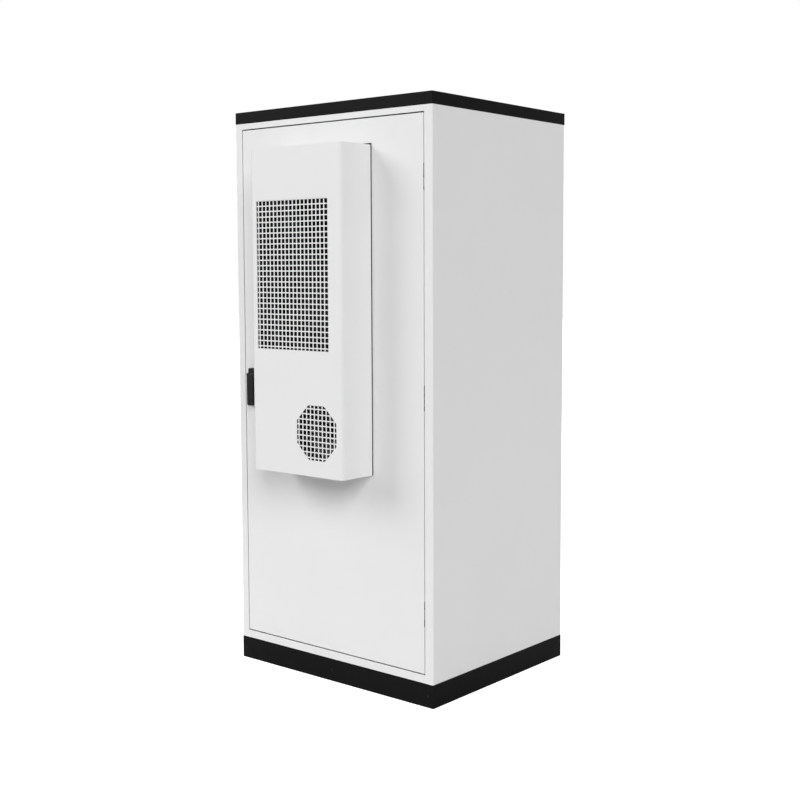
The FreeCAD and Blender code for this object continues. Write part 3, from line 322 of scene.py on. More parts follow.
zincValues = {"metal": 0.85, "crystals": 150.0, "glossSpread": (-0.05, 0.06),
              "grain": (160.0, 3.0), "grainDepth": 0.0002, "grainStrength": 0.2}


# Galvanised sheet: crystals that differ in tone and gloss
def zincSpangle(name, dark, light, rough):
    material, tree, shader, place = startFinish(name, light, rough, zincValues["metal"])
    split = tree.nodes.new("ShaderNodeSeparateColor")
    tree.links.new(cellsOn(tree, place, zincValues["crystals"], "Color"), split.inputs["Color"])
    colourBetween(tree, split.outputs["Red"], dark, light, shader)
    glossFrom(tree, split.outputs["Green"], rough, zincValues["glossSpread"], shader, (0, 1))
    bumpFrom(tree, noiseOn(tree, place, *zincValues["grain"]), zincValues["grainDepth"],
             zincValues["grainStrength"], shader)
    return material


drawnValues = {"lines": (900.0, 3.0), "tarnish": (30.0, 4.0), "glossSpread": (-0.08, 0.1),
               "lineDepth": 0.00005, "lineStrength": 0.3, "alongZ": (1, 1, 0.04)}


# Bare metal with fine drawn lines along one axis
def drawnMetal(name, dark, light, rough, along=drawnValues["alongZ"]):
    material, tree, shader, place = startFinish(name, light, rough, 1.0)
    lines = noiseOn(tree, stretched(tree, place, along), *drawnValues["lines"])
    colourBetween(tree, noiseOn(tree, place, *drawnValues["tarnish"]), dark, light, shader)
    glossFrom(tree, lines, rough, drawnValues["glossSpread"], shader)
    bumpFrom(tree, lines, drawnValues["lineDepth"], drawnValues["lineStrength"], shader)
    return material


plasticValues = {"cloud": (18.0, 3.0), "handled": (40.0, 3.0), "glossSpread": (-0.06, 0.06),
                 "grain": 1100.0, "grainDepth": 0.0001, "grainStrength": 0.25}


# Moulded plastic: an eroded grain from the tool, a little shinier where it has been handled
def mouldedPlastic(name, dark, light, rough, **values):
    material, tree, shader, place = startFinish(name, light, rough, **values)
    colourBetween(tree, noiseOn(tree, place, *plasticValues["cloud"]), dark, light, shader)
    glossFrom(tree, noiseOn(tree, place, *plasticValues["handled"]), rough,
              plasticValues["glossSpread"], shader)
    bumpFrom(tree, cellsOn(tree, place, plasticValues["grain"]), plasticValues["grainDepth"],
             plasticValues["grainStrength"], shader)
    return material


foamValues = {"shine": 0.2, "wall": 0.8, "cellDepth": 0.0004, "cellStrength": 0.5}


# Closed-cell foam: small round cells with darker walls
def cellFoam(name, dark, light, rough, perMetre):
    material, tree, shader, place = startFinish(name, light, rough,
                                                Specular_IOR_Level=foamValues["shine"])
    cells = cellsOn(tree, place, perMetre)
    walls = rangeOn(tree, cells, 0.0, 1.0, 0.0, foamValues["wall"])
    colourBetween(tree, walls, light, dark, shader)
    bumpFrom(tree, cells, foamValues["cellDepth"], foamValues["cellStrength"], shader)
    return material


stripeValues = {"metal": 0.2, "shine": 0.2, "wobble": 0.3, "depth": 0.0005, "strength": 0.5}


# Coated fins: thin lines across the coil, the lighter ones the fins' own coat and the darker ones
# painted shade in the gaps between fins
def finAndGapShadeStripes(name, dark, light, rough, perMetre):
    material, tree, shader, place = startFinish(name, light, rough, stripeValues["metal"],
                                                Specular_IOR_Level=stripeValues["shine"])
    stripes = stripesOn(tree, place, perMetre, stripeValues["wobble"])
    colourBetween(tree, stripes, dark, light, shader)
    bumpFrom(tree, stripes, stripeValues["depth"], stripeValues["strength"], shader)
    return material


ribValues = {"through": 0.15, "depth": 0.0006, "strength": 0.4, "cloud": (30.0, 2.0),
             "glossSpread": (-0.05, 0.05)}


# A clouded diffuser with ribs along it
def ribbedDiffuser(name, colour, rough, perMetre):
    material, tree, shader, place = startFinish(name, colour, rough,
                                                Transmission_Weight=ribValues["through"])
    bumpFrom(tree, stripesOn(tree, place, perMetre), ribValues["depth"], ribValues["strength"],
             shader)
    glossFrom(tree, noiseOn(tree, place, *ribValues["cloud"]), rough, ribValues["glossSpread"],
              shader)
    return material


finishes = {
    "white_paint": powderCoat("whitePaint", (0.765, 0.77, 0.77), (0.78, 0.783, 0.78), 0.42, 420.0,
                              0.00006, Specular_IOR_Level=0.35),
    "black_paint": powderCoat("blackPaint", (0.0042, 0.0042, 0.0044), (0.0054, 0.0054, 0.0056), 0.48,
                              600.0, 0.0001, Specular_IOR_Level=0.07),
    "module_case": powderCoat("moduleCase", (0.045, 0.047, 0.05), (0.06, 0.063, 0.066), 0.5, 500.0,
                              0.0001),
    "compressor_paint": powderCoat("compressorPaint", (0.008, 0.008, 0.008), (0.013, 0.013, 0.013),
                                   0.3, 300.0, 0.00008),
    "red_paint": powderCoat("redPaint", (0.42, 0.012, 0.01), (0.5, 0.018, 0.014), 0.25, 250.0,
                            0.00006, Coat_Weight=0.4),
    "zinc_sheet": zincSpangle("zincSheet", (0.53, 0.545, 0.555), (0.6, 0.615, 0.625), 0.42),
    "steel": drawnMetal("drawnSteel", (0.42, 0.42, 0.42), (0.56, 0.56, 0.55), 0.32),
    "copper": drawnMetal("platedCopper", (0.6, 0.27, 0.13), (0.78, 0.4, 0.22), 0.25),
    "black_screws": drawnMetal("blackedSteel", (0.02, 0.02, 0.022), (0.035, 0.035, 0.037), 0.42,
                               (1, 1, 1)),
    "black_plastic": mouldedPlastic("blackPlastic", (0.006, 0.006, 0.0065), (0.009, 0.009, 0.0097), 0.5,
                                    Specular_IOR_Level=0.22),
    "white_plastic": mouldedPlastic("whitePlastic", (0.72, 0.72, 0.7), (0.78, 0.78, 0.76), 0.4),
    "grey_plastic": mouldedPlastic("greyPlastic", (0.2, 0.205, 0.21), (0.26, 0.265, 0.27), 0.45),
    "red_plastic": mouldedPlastic("redPlastic", (0.5, 0.012, 0.012), (0.62, 0.02, 0.018), 0.32),
    "rubber": cellFoam("doorRubber", (0.008, 0.008, 0.008), (0.016, 0.016, 0.017), 0.75, 700.0),
    "foam": cellFoam("darkFoam", (0.045, 0.046, 0.048), (0.085, 0.087, 0.09), 0.9, 380.0),
    # the coil's darker stripes are painted shade between its fins
    "fins": finAndGapShadeStripes("coatedFinsAndGapShade", (0.002, 0.002, 0.002), (0.012, 0.012, 0.013), 0.6, 160.0),
    "lamp": ribbedDiffuser("lampDiffuser", (0.85, 0.86, 0.85), 0.3, 60.0),
}
orangePlastic = mouldedPlastic("orangePlastic", (0.62, 0.16, 0.01), (0.75, 0.22, 0.02), 0.4)
yellowPlastic = mouldedPlastic("yellowPlastic", (0.75, 0.42, 0.01), (0.85, 0.52, 0.02), 0.45)
greenLight = startFinish("greenLight", (0.05, 0.5, 0.12), 0.2, Emission_Strength=0.5,
                         Emission_Color=(0.1, 1.0, 0.25, 1))[0]
redLight = startFinish("redLight", (0.5, 0.02, 0.02), 0.2, Emission_Strength=0.4,
                       Emission_Color=(1.0, 0.1, 0.08, 1))[0]
darkGlass = startFinish("darkGlass", (0.01, 0.012, 0.016), 0.08, Coat_Weight=0.6)[0]

for nodeName in ("handle_spindle", "lock_cylinder"):  # blackened, unlike the other steel pieces
    slotOf[nodeName] = "black_screws"
for nodeName in ("hinge_frame_leaves", "hinge_door_leaves"):  # painted with the body
    slotOf[nodeName] = "white_paint"
for nodeName, node in nodes.items():
    node.data.materials.clear()
    node.data.materials.append(finishes[slotOf[nodeName]])
print("finishes ready:", len(finishes))


# Shapes: each is a pair, its points as an array and its faces as lists of point numbers

# The eight corners between a lowest and a highest corner
def boxShape(low, high):
    corners = np.array([(x, y, z) for z in (0, 1) for y in (0, 1) for x in (0, 1)], float)
    points = np.array(low) + corners * (np.array(high) - np.array(low))
    return points, [(0, 2, 3, 1), (4, 5, 7, 6), (0, 1, 5, 4), (1, 3, 7, 5), (3, 2, 6, 7), (2, 0, 4, 6)]


# A grid of points joined to its neighbours: rows close round, and the first and last rows are capped,
# or joined to each other where the shape is closed
def ringsShape(rings, closed=False):
    count, sides = rings.shape[:2]
    row, column = np.meshgrid(np.arange(count if closed else count - 1), np.arange(sides),
                              indexing="ij")
    nextRow, nextColumn = (row + 1) % count, (column + 1) % sides
    faces = np.stack([row * sides + column, row * sides + nextColumn, nextRow * sides + nextColumn,
                      nextRow * sides + column], -1).reshape(-1, 4).tolist()
    if not closed:
        faces += [list(range(sides))[::-1], list(range((count - 1) * sides, count * sides))]
    return rings.reshape(-1, 3), faces


# A profile of radius and height turned about Z: x = r cos a, y = r sin a, z = h
def turnedShape(profile, sides=32):
    profile = np.array(profile, float)
    angle = np.arange(sides) * 2 * math.pi / sides
    rings = np.stack([profile[:, :1] * np.cos(angle), profile[:, :1] * np.sin(angle),
                      np.repeat(profile[:, 1:], sides, 1)], -1)
    return ringsShape(rings)


# A polygon with rounded corners: each corner is a quarter circle of the given radius
def roundedOutline(width, height, radius, steps=5):
    angle = np.linspace(0, math.pi / 2, steps)
    corners = []
    for index, (sideX, sideY) in enumerate([(1, 1), (-1, 1), (-1, -1), (1, -1)]):
        turn = angle + index * math.pi / 2
        corners.append(np.stack([sideX * (width / 2 - radius) + radius * np.cos(turn),
                                 sideY * (height / 2 - radius) + radius * np.sin(turn)], -1))
    return np.concatenate(corners)


leastRadius = 1e-5  # a corner that the rim has used up keeps this radius


# A rounded plate that stands along Z, its rim rolled over: the outline shrinks as it reaches the face
def plateShape(width, height, thick, radius, rim):
    roll = np.linspace(0, math.pi / 2, 4)
    levels = [(0.0, 0.0)] + [(rim * (1 - math.cos(a)), thick - rim + rim * math.sin(a)) for a in roll]
    rings = []
    for inset, level in levels:
        outline = roundedOutline(width - 2 * inset, height - 2 * inset, max(radius - inset, leastRadius))
        rings.append(np.column_stack([outline, np.full(len(outline), level)]))
    return ringsShape(np.array(rings))


# Turns a shape that stands along Z so that it stands along another axis
def facing(shape, axis):
    points, faces = shape
    x, y, z = points.T
    turned = {"-z": (x, -y, -z), "-y": (x, -z, y), "+y": (-x, z, y), "+x": (z, x, y)}[axis]
    return np.stack(turned, -1), faces


# The shape with the place added to each point
def movedTo(shape, place):
    return shape[0] + np.array(place), shape[1]


# The same shape at many places, as one shape
def repeated(shape, places):
    points, faces = shape
    places = np.array(places, float)
    every = (points[None] + places[:, None]).reshape(-1, 3)
    return every, [[corner + index * len(points) for corner in face]
                   for index in range(len(places)) for face in faces]


# Shapes one after another: each one's point numbers start where the last one's end
def joined(*shapes):
    points, faces, start = [], [], 0
    for some, joins in shapes:
        points.append(some)
        faces += [[corner + start for corner in face] for face in joins]
        start += len(some)
    return np.concatenate(points), faces


edgeValues = {"smoothBelow": 40, "bevelAbove": 35, "bevelSegments": 2}


# Smooth shading, except across edges that turn by more than the angle
def smoothBelowAngle(mesh):
    mesh.shade_smooth()
    mesh.set_sharp_from_angle(angle=math.radians(edgeValues["smoothBelow"]))


# Makes the piece: its mesh, its slot's finish or another, smooth shading, rolled edges and its body
def addPiece(name, shape, body, slot, finish=None, bevel=0.0):
    mesh = bpy.data.meshes.new(name)
    mesh.from_pydata(shape[0].tolist(), [], [list(face) for face in shape[1]])
    mesh.materials.append(finish if finish else finishes[slot])
    piece = newObject(name, mesh)
    smoothBelowAngle(mesh)
    if bevel:
        roll = piece.modifiers.new("rolledEdge", "BEVEL")
        roll.width = bevel
        roll.segments = edgeValues["bevelSegments"]
        roll.limit_method = "ANGLE"
        roll.angle_limit = math.radians(edgeValues["bevelAbove"])
        roll.harden_normals = True
    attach(piece, body)
    return piece


# Folded sheet: a copy of a CAD node whose long sharp edges are rolled to a small radius

rolledEdges = {
    "left_panel": 0.0014, "right_panel": 0.0014, "top_rail": 0.0008, "bottom_rail": 0.0008,
    "rear_panel": 0.0006, "door_panel": 0.0016, "roof_cover": 0.0018, "plinth_covers": 0.0016,
    "ac_cover": 0.0012, "control_box": 0.001, "battery_module_1": 0.001, "battery_module_2": 0.001,
    "battery_module_3": 0.001, "battery_module_4": 0.001, "module_handles": 0.0025,
    "link_bars": 0.0008, "document_pocket": 0.0006, "door_liner": 0.0005, "ac_gasket": 0.001,
    "rack_uprights": 0.0008, "shelf_rails": 0.0006, "handle_base": 0.0008, "cabin_lamp": 0.003,
    "hinge_frame_leaves": 0.0005, "hinge_door_leaves": 0.0005,
    "upper_rod": 0.0006, "lower_rod": 0.0006, "rod_guides": 0.0005, "rod_keepers": 0.0005,
}
# Edges under the shortest belong to holes and small steps, and stay as they are; angles in degrees
rollValues = {"shortest": 0.018, "merge": 2e-6, "flatBelow": 0.5, "sharpAbove": 40, "segments": 3,
              "roundness": 0.5}


# The copy: points that coincide are merged, flat faces are joined and each long convex edge is rolled.
# Edges next to a seam that more than two faces share stay, and nothing passes the node's own box
def rolledCopy(nodeName, radius, values):
    source = nodes[nodeName]
    work = bmesh.new()
    work.from_mesh(source.data)
    bmesh.ops.remove_doubles(work, verts=work.verts, dist=values["merge"])
    bmesh.ops.dissolve_limit(work, angle_limit=math.radians(values["flatBelow"]), verts=work.verts,
                             edges=work.edges)
    shared = {vert for edge in work.edges if not edge.is_manifold for vert in edge.verts}
    sharp = [edge for edge in work.edges if edge.is_manifold and edge.is_convex
             and not shared.intersection(edge.verts)
             and edge.calc_face_angle() > math.radians(values["sharpAbove"])
             and edge.calc_length() > values["shortest"]]
    bmesh.ops.bevel(work, geom=sharp, offset=radius, segments=values["segments"],
                    profile=values["roundness"], affect="EDGES", clamp_overlap=True)
    low, high = placeOf(nodeName)
    for vert in work.verts:
        vert.co = Vector(np.clip(vert.co, low, high))
    mesh = bpy.data.meshes.new(nodeName + ".rolled")
    work.to_mesh(mesh)
    work.free()
    mesh.materials.append(finishes[slotOf[nodeName]])
    smoothBelowAngle(mesh)
    piece = newObject(nodeName + ".rolled", mesh)
    weighted = piece.modifiers.new("flatFaces", "WEIGHTED_NORMAL")
    weighted.keep_sharp = True
    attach(piece, source["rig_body"])
    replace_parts(piece, nodeName)


for nodeName, radius in rolledEdges.items():
    rolledCopy(nodeName, radius, rollValues)
print("folded sheet ready:", len(rolledEdges))


# Small fasteners and fittings

# Shares of a fastener's own radius and height, and the sides it is turned with
fastenerValues = {"headSides": 24, "headShoulder": 0.35, "headMouth": 1.25, "socketDepth": 0.45,
                  "socketTip": 0.02, "washerSides": 28, "washerFlank": 0.7, "washerHole": 0.4,
                  "nutFlank": 0.8, "nutFace": 0.86}


# A dome head with a six-sided socket: a turned profile whose socket rings follow a hexagon
def socketHead(radius, height, socket):
    angle = np.arange(fastenerValues["headSides"]) * 2 * math.pi / fastenerValues["headSides"]
    hexagon = math.cos(math.pi / 6) / np.cos((angle % (math.pi / 3)) - math.pi / 6)
    mouth = socket * fastenerValues["headMouth"]
    shoulder = fastenerValues["headShoulder"]
    dome = np.linspace(0, math.pi / 2, 5)
    rows = [(radius, 0.0)] + [(mouth + (radius - mouth) * math.cos(a),
                               height * (shoulder + (1 - shoulder) * math.sin(a))) for a in dome]
    plain = np.array([[(r * math.cos(a), r * math.sin(a), h) for a in angle] for r, h in rows])
    inner = np.array([[(socket * k * math.cos(a), socket * k * math.sin(a), h)
                       for a, k in zip(angle, hexagon)]
                      for h in (height, height * fastenerValues["socketDepth"])])
    tip = inner[-1:] * (fastenerValues["socketTip"], fastenerValues["socketTip"], 1)
    return ringsShape(np.concatenate([plain, inner, tip]))


# A flat ring, its outer edge turned down over the last part of its thickness
def washer(outer, thick):
    flank = thick * fastenerValues["washerFlank"]
    return turnedShape([(outer, 0), (outer, flank), (outer - thick + flank, thick),
                        (outer * fastenerValues["washerHole"], thick)],
                       fastenerValues["washerSides"])


# A head that stands on its washer
def onWasher(head, values):
    return joined(washer(values["washerRadius"], values["washerThick"]),
                  movedTo(head, (0, 0, values["washerThick"])))


# A dome head on its washer
def washeredScrew(values):
    return onWasher(socketHead(values["screwRadius"], values["screwHeight"], values["screwSocket"]),
                    values)


# A hexagon nut or bolt head with its corners turned down at the face
def hexHead(across, height):
    corner = across / math.sqrt(3)
    return turnedShape([(corner, 0), (corner, height * fastenerValues["nutFlank"]),
                        (corner * fastenerValues["nutFace"], height)], 6)


rackValues = {
    "screwInset": 0.0175, "screwDrop": 0.03, "screwRadius": 0.0055, "screwHeight": 0.0045,
    "screwSocket": 0.0026, "washerRadius": 0.008, "washerThick": 0.0012,
    "holeStep": 0.0445, "holeHalf": 0.0048, "holeThick": 0.0004, "holeCorner": 0.001,
    "holeRim": 0.0002, "holeShift": 0.003, "holeMargin": 0.02, "holeClear": 0.008,
}
plateFront = placeOf("module_handles")[1][1]
moduleNames = ["battery_module_%d" % (index + 1) for index in range(4)]
unitNames = moduleNames + ["control_box"]


# Four screws with washers hold each unit's front plate to the rack
def makeRackScrews(values):
    places = []
    for name in unitNames:
        low, high = placeOf(name)
        for x in (low[0] + values["screwInset"], high[0] - values["screwInset"]):
            for z in (low[2] + values["screwDrop"], high[2] - values["screwDrop"]):
                places.append((x, plateFront, z))
    addPiece("rackScrews", repeated(facing(washeredScrew(values), "-y"), places), "cabinet", "steel")


# The square holes for cage nuts that show between the units, as thin black plates: painted shade
# standing in for the holes
def makeRackHoleShade(values):
    low, high = placeOf("rack_uprights")
    rows = np.arange(low[2] + values["holeMargin"], high[2] - values["holeMargin"],
                     values["holeStep"])
    clear = values["holeClear"]
    taken = [placeOf(name) for name in unitNames]
    free = [z for z in rows if not any(a[2] - clear < z < b[2] + clear for a, b in taken)]
    side = 2 * values["holeHalf"]
    hole = plateShape(side, side, values["holeThick"], values["holeCorner"], values["holeRim"])
    holeX = high[0] - values["screwInset"] - values["holeShift"]
    places = [(sign * holeX, low[1], z) for z in free for sign in (-1, 1)]
    # Black plates stand in for the holes: painted shade
    addPiece("cageHoleShade", repeated(facing(hole, "-y"), places), "cabinet", "black_plastic")


louvreValues = {
    "length": 0.085, "rise": 0.005, "reach": 0.0045, "step": 0.015, "rows": 13,
    "columns": (0.03, 0.13, 0.23), "endSwell": 0.35, "hoodSwell": 0.6, "lean": 0.25,
    "sink": 0.0003, "sheet": 0.0004, "slitShadeShare": 0.4, "slitShadeLow": (-0.0007, -0.0012),
    "slitShadeHigh": (0.0002, 0.0006),
}


# A pressed louvre: along it the hood swells as a flattened half sine, across it leans out and back
def louvreShape(values):
    along = np.linspace(0, math.pi, 9)
    across = np.linspace(0, 1, 6)
    ends = np.sin(along)[:, None] ** values["endSwell"]
    hoodCurve = np.sin(across * math.pi / 2)[None] ** values["hoodSwell"]
    x = (along / math.pi - 0.5)[:, None] * values["length"] + 0 * across
    z = values["rise"] * across[None] + 0 * x
    y = -values["reach"] * ends * hoodCurve * (1 - values["lean"] * across)
    y[:, -1] = values["sink"]
    hood = np.stack([x, y, z], -1)
    back = hood[:, ::-1] * (1, 0, 1) + (0, values["sheet"], 0)
    return ringsShape(np.concatenate([hood, back], 1)[:, ::-1])


# Columns of louvres on each module's front plate, each with a thin black strip under its hood: painted
# shade where the louvre opens into the module
def makeModuleLouvres(values):
    places = []
    for name in moduleNames:
        start = middleOf(name)[2] - (values["rows"] - 1) / 2 * values["step"]
        places += [(x, plateFront, start + row * values["step"])
                   for x in values["columns"] for row in range(values["rows"])]
    addPiece("moduleLouvres", repeated(louvreShape(values), places), "cabinet", "module_case")
    # The black strips are painted shade in the louvres' openings, not a part of the module
    half = values["slitShadeShare"] * values["length"]
    slitShade = boxShape((-half, *values["slitShadeLow"]), (half, *values["slitShadeHigh"]))
    addPiece("louvreSlitShade", repeated(slitShade, places), "cabinet", "black_plastic")


terminalValues = {
    "inset": 0.009, "guardRadius": 0.019, "guardDepth": 0.009, "guardWall": 0.0035,
    "guardRim": 0.001, "guardFloor": 0.3, "guardHole": 0.0095, "boltAcross": 0.013,
    "boltHeight": 0.0035, "boltRim": 0.0003, "washerRadius": 0.0085, "washerThick": 0.0012,
}


# Orange and black touch guards round the terminals, and the bolts that clamp the link bars
def makeTerminalGuards(values):
    radius, depth = values["guardRadius"], values["guardDepth"]
    inside, ledge = radius - values["guardWall"], depth * values["guardFloor"]
    profile = [(radius, 0), (radius, depth - values["guardRim"]), (radius - values["guardRim"], depth),
               (inside, depth), (inside, ledge), (values["guardHole"], ledge)]
    guard = facing(turnedShape(profile), "-y")
    low, high = placeOf("link_bars")
    terminals = (low[0] + values["inset"], high[0] - values["inset"])
    for name, x, finish in (("orangeGuards", terminals[0], orangePlastic),
                            ("blackGuards", terminals[1], finishes["black_plastic"])):
        places = [(x, plateFront, middleOf(unit)[2]) for unit in moduleNames]
        addPiece(name, repeated(guard, places), "cabinet", "black_plastic", finish)
    bolt = onWasher(hexHead(values["boltAcross"], values["boltHeight"]), values)
    places = [(terminals[bar % 2], low[1], middleOf(unit)[2])
              for bar in range(len(moduleNames) - 1) for unit in moduleNames[bar:bar + 2]]
    addPiece("linkBolts", repeated(facing(bolt, "-y"), places), "cabinet", "steel",
             bevel=values["boltRim"])


# Plates are given as width, height, thickness, corner and rim, profiles as radius and height
fittingValues = {
    "row": 0.105, "bezelX": -0.06, "bezel": (0.062, 0.018, 0.002, 0.004, 0.0008), "lights": 4,
    "lightStep": 0.012, "lens": ((0.0028, 0), (0.0028, 0.0006), (0.0022, 0.0014), (0.0008, 0.0018)),
    "portX": (-0.13, -0.108), "portOuter": (0.0165, 0.0145, 0.001),
    "portInner": (0.0125, 0.0095, 0.0006), "portDepth": 0.003, "portFloor": 0.0004,
}


# Status lights in a black bezel and the two data ports of each module
def makeModuleFittings(values):
    bezels, ports, lights = [], [], []
    for name in moduleNames:
        z = middleOf(name)[2] + values["row"]
        bezels.append((values["bezelX"], plateFront, z))
        ports += [(x, plateFront, z) for x in values["portX"]]
        lights += [(values["bezelX"] + (step - (values["lights"] - 1) / 2) * values["lightStep"],
                    plateFront - values["bezel"][2], z) for step in range(values["lights"])]
    bezel = facing(plateShape(*values["bezel"]), "-y")
    addPiece("lightBezels", repeated(bezel, bezels), "cabinet", "black_plastic")
    lens = facing(turnedShape(values["lens"], 16), "-y")
    addPiece("statusLights", repeated(lens, lights), "cabinet", "lamp", greenLight)
    outer, inner = (roundedOutline(*values[side]) for side in ("portOuter", "portInner"))
    rings = [np.column_stack([outline, np.full(len(outline), level)])
             for outline, level in ((outer, 0.0), (outer, values["portDepth"]),
                                    (inner, values["portDepth"]), (inner, values["portFloor"]))]
    port = facing(ringsShape(np.array(rings)), "-y")
    addPiece("dataPorts", repeated(port, ports), "cabinet", "grey_plastic")


controlValues = {
    "displayRise": 0.03, "bezel": (0.126, 0.078, 0.004, 0.005, 0.0012),
    "glass": (0.11, 0.062, 0.0008, 0.002, 0.0004), "socketRow": -0.052, "socketStep": 0.03,
    "sockets": 6,
    "socket": ((0.0105, 0), (0.0105, 0.003), (0.0098, 0.0038), (0.0085, 0.0038), (0.0085, 0.011),
               (0.0079, 0.0118), (0.0062, 0.0118), (0.0062, 0.003), (0.0005, 0.003)),
    "cap": ((0.0058, 0.003), (0.0058, 0.0092), (0.0052, 0.0098), (0.0005, 0.0098)),
    "collar": ((0.026, 0), (0.026, 0.001), (0.0255, 0.0014), (0.0205, 0.0014), (0.0205, 0)),
    "tickLow": (-0.0006, 0, 0.028), "tickHigh": (0.0006, 0.0004, 0.034),
    "tickTurns": (0, 30, 60, 90), "scaleDepth": 0.0224,
}


# Turns a shape about Y: x' = x cos a + z sin a, z' = z cos a - x sin a
def turnedAboutY(shape, degrees):
    a = math.radians(degrees)
    x, y, z = shape[0].T
    return (np.stack([x * math.cos(a) + z * math.sin(a), y, z * math.cos(a) - x * math.sin(a)], -1),
            shape[1])


# The control box's display, its row of round sockets, the isolator's scale and the stop's collar
def makeControlFittings(values):
    z = middleOf("control_box")[2]
    displayZ = z + values["displayRise"]
    bezel = facing(plateShape(*values["bezel"]), "-y")
    addPiece("displayBezel", movedTo(bezel, (0, plateFront, displayZ)), "cabinet", "black_plastic")
    glass = facing(plateShape(*values["glass"]), "-y")
    addPiece("displayGlass", movedTo(glass, (0, plateFront - values["bezel"][2], displayZ)),
             "cabinet", "black_plastic", darkGlass)
    places = [((step - (values["sockets"] - 1) / 2) * values["socketStep"], plateFront,
               z + values["socketRow"]) for step in range(values["sockets"])]
    socket = facing(turnedShape(values["socket"], 28), "-y")
    addPiece("controlSockets", repeated(socket, places), "cabinet", "steel")
    cap = facing(turnedShape(values["cap"], 24), "-y")
    addPiece("socketCaps", repeated(cap, places), "cabinet", "black_plastic")
    collar = facing(turnedShape(values["collar"], 48), "-y")
    addPiece("stopCollar", movedTo(collar, (middleOf("stop_button")[0], plateFront, z)), "cabinet",
             "white_plastic", yellowPlastic)
    tick = boxShape(values["tickLow"], values["tickHigh"])
    scale = joined(*(turnedAboutY(tick, turn) for turn in values["tickTurns"]))
    centre = (middleOf("isolator_handle")[0], plateFront - values["scaleDepth"], z)
    addPiece("isolatorTicks", movedTo(scale, centre), "cabinet", "white_plastic")


# Equipment under the top plate, turned on its own axis

canisterValues = {
    "end": 0.03, "tip": 0.0005, "neck": 0.012, "neckRise": 0.004, "valveLength": 0.02,
    "valve": ((0.013, 0.002), (0.013, 0.008), (0.008, 0.009), (0.008, 0.014), (0.0105, 0.015),
              (0.0105, 0.0195), (0.002, 0.02)),
    "strapInset": 0.03, "strapHalf": 0.008, "strapInner": 0.974, "strapSink": 0.0005,
    "strapTurn": (-45, 225),
}


# A strap: an arc round the bottle with a straight leg up to the top plate at each end
def strapShape(x, axis, radius, top, values):
    first, last = values["strapTurn"]
    angle = np.radians(np.linspace(first, last, 25))[[0, *range(25), -1]]
    path = np.stack([np.cos(angle) * radius, -np.sin(angle) * radius], -1)
    inner, half = values["strapInner"], values["strapHalf"]
    rings = []
    for share, offset in ((1.0, -half), (1.0, half), (inner, half), (inner, -half)):
        flat = path * share
        flat[[0, -1], 1] = top - axis[1] - values["strapSink"]
        rings.append(np.column_stack([np.full(len(flat), x + offset), flat + axis]))
    return ringsShape(np.array(rings).transpose(1, 0, 2))


# The fire canister: a bottle with round ends, a neck and a valve, held in two straps
def makeCanister(values):
    low, high = placeOf("fire_canister")
    radius = (high[1] - low[1]) / 2
    axis = np.array([middleOf("fire_canister")[1], low[2] + radius])
    length = high[0] - low[0] - values["valveLength"]
    end, neck = values["end"], values["neck"]
    bend = np.linspace(0, math.pi / 2, 7)
    bottle = [(max(radius * math.sin(a), values["tip"]), end * (1 - math.cos(a))) for a in bend]
    bottle += [(radius * math.cos(a) + neck * (1 - math.cos(a)), length - end + end * math.sin(a))
               for a in bend]
    bottle += [(neck, length + values["neckRise"])]
    valve = [(size, length + level) for size, level in values["valve"]]
    for name, profile, sides, slot in (("canisterBottle", bottle, 40, "red_paint"),
                                       ("canisterValve", valve, 24, "copper")):
        turned = facing(turnedShape(profile, sides), "+x")
        addPiece(name, movedTo(turned, (low[0], *axis)), "cabinet", slot)
    inset = values["strapInset"]
    straps = [strapShape(x, axis, radius, high[2], values)
              for x in (low[0] + inset, low[0] + length - inset)]
    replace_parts(addPiece("canisterStraps", joined(*straps), "cabinet", "steel"), "fire_canister")


# Profiles of the detector as shares of its radius, and heights in metres
detectorValues = {
    "base": ((1, 0), (1, 0.008), (0.94, 0.014), (0.7, 0.016), (0.68, 0.018)),
    "cap": ((0.6, 0.0), (0.72, 0.002), (0.7, 0.008), (0.52, 0.016), (0.2, 0.0185)),
    "capTip": 0.002, "capHeight": 0.0188, "core": 0.5, "coreLow": 0.01, "coreLap": 0.004,
    "fins": 24, "finPlace": 0.62, "finHalf": 0.0012, "finLow": 0.015, "finCut": 0.012,
    "lens": ((0.003, 0), (0.003, 0.001), (0.002, 0.0022), (0.0005, 0.0026)), "lensRise": 0.0125,
}


# The smoke detector: a base, a waist with slots all round and a domed cap
def makeDetector(values):
    low, high = placeOf("smoke_detector")
    middle = middleOf("smoke_detector")
    radius, height = (high[0] - low[0]) / 2, high[2] - low[2]
    base = [(radius * share, level) for share, level in values["base"]]
    cap = [(radius * share, level) for share, level in values["cap"]]
    cap += [(values["capTip"], values["capHeight"])]
    step = height - values["capHeight"]
    core = [(radius * values["core"], values["coreLow"]),
            (radius * values["core"], step + values["coreLap"])]
    ring = radius * values["finPlace"]
    pins = [(ring * math.cos(a), ring * math.sin(a), values["finLow"])
            for a in np.arange(values["fins"]) * 2 * math.pi / values["fins"]]
    half = values["finHalf"]
    fin = boxShape((-half, -half, 0), (half, half, step - values["finCut"]))
    body = joined(turnedShape(base, 48), movedTo(turnedShape(cap, 48), (0, 0, step)),
                  turnedShape(core), repeated(fin, pins))
    detector = addPiece("detectorBody", movedTo(facing(body, "-z"), (middle[0], middle[1], high[2])),
                        "cabinet", "white_plastic")
    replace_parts(detector, "smoke_detector")
    lens = facing(turnedShape(values["lens"], 16), "-z")
    addPiece("detectorLight", movedTo(lens, (middle[0], middle[1] - ring,
                                             high[2] - step - values["lensRise"])),
             "cabinet", "red_plastic", redLight)


# Air conditioner

coilValues = {"finStep": 0.0026, "finThick": 0.0005, "finDepth": 0.0032, "margin": 0.002,
              "screenGap": 0.0006}


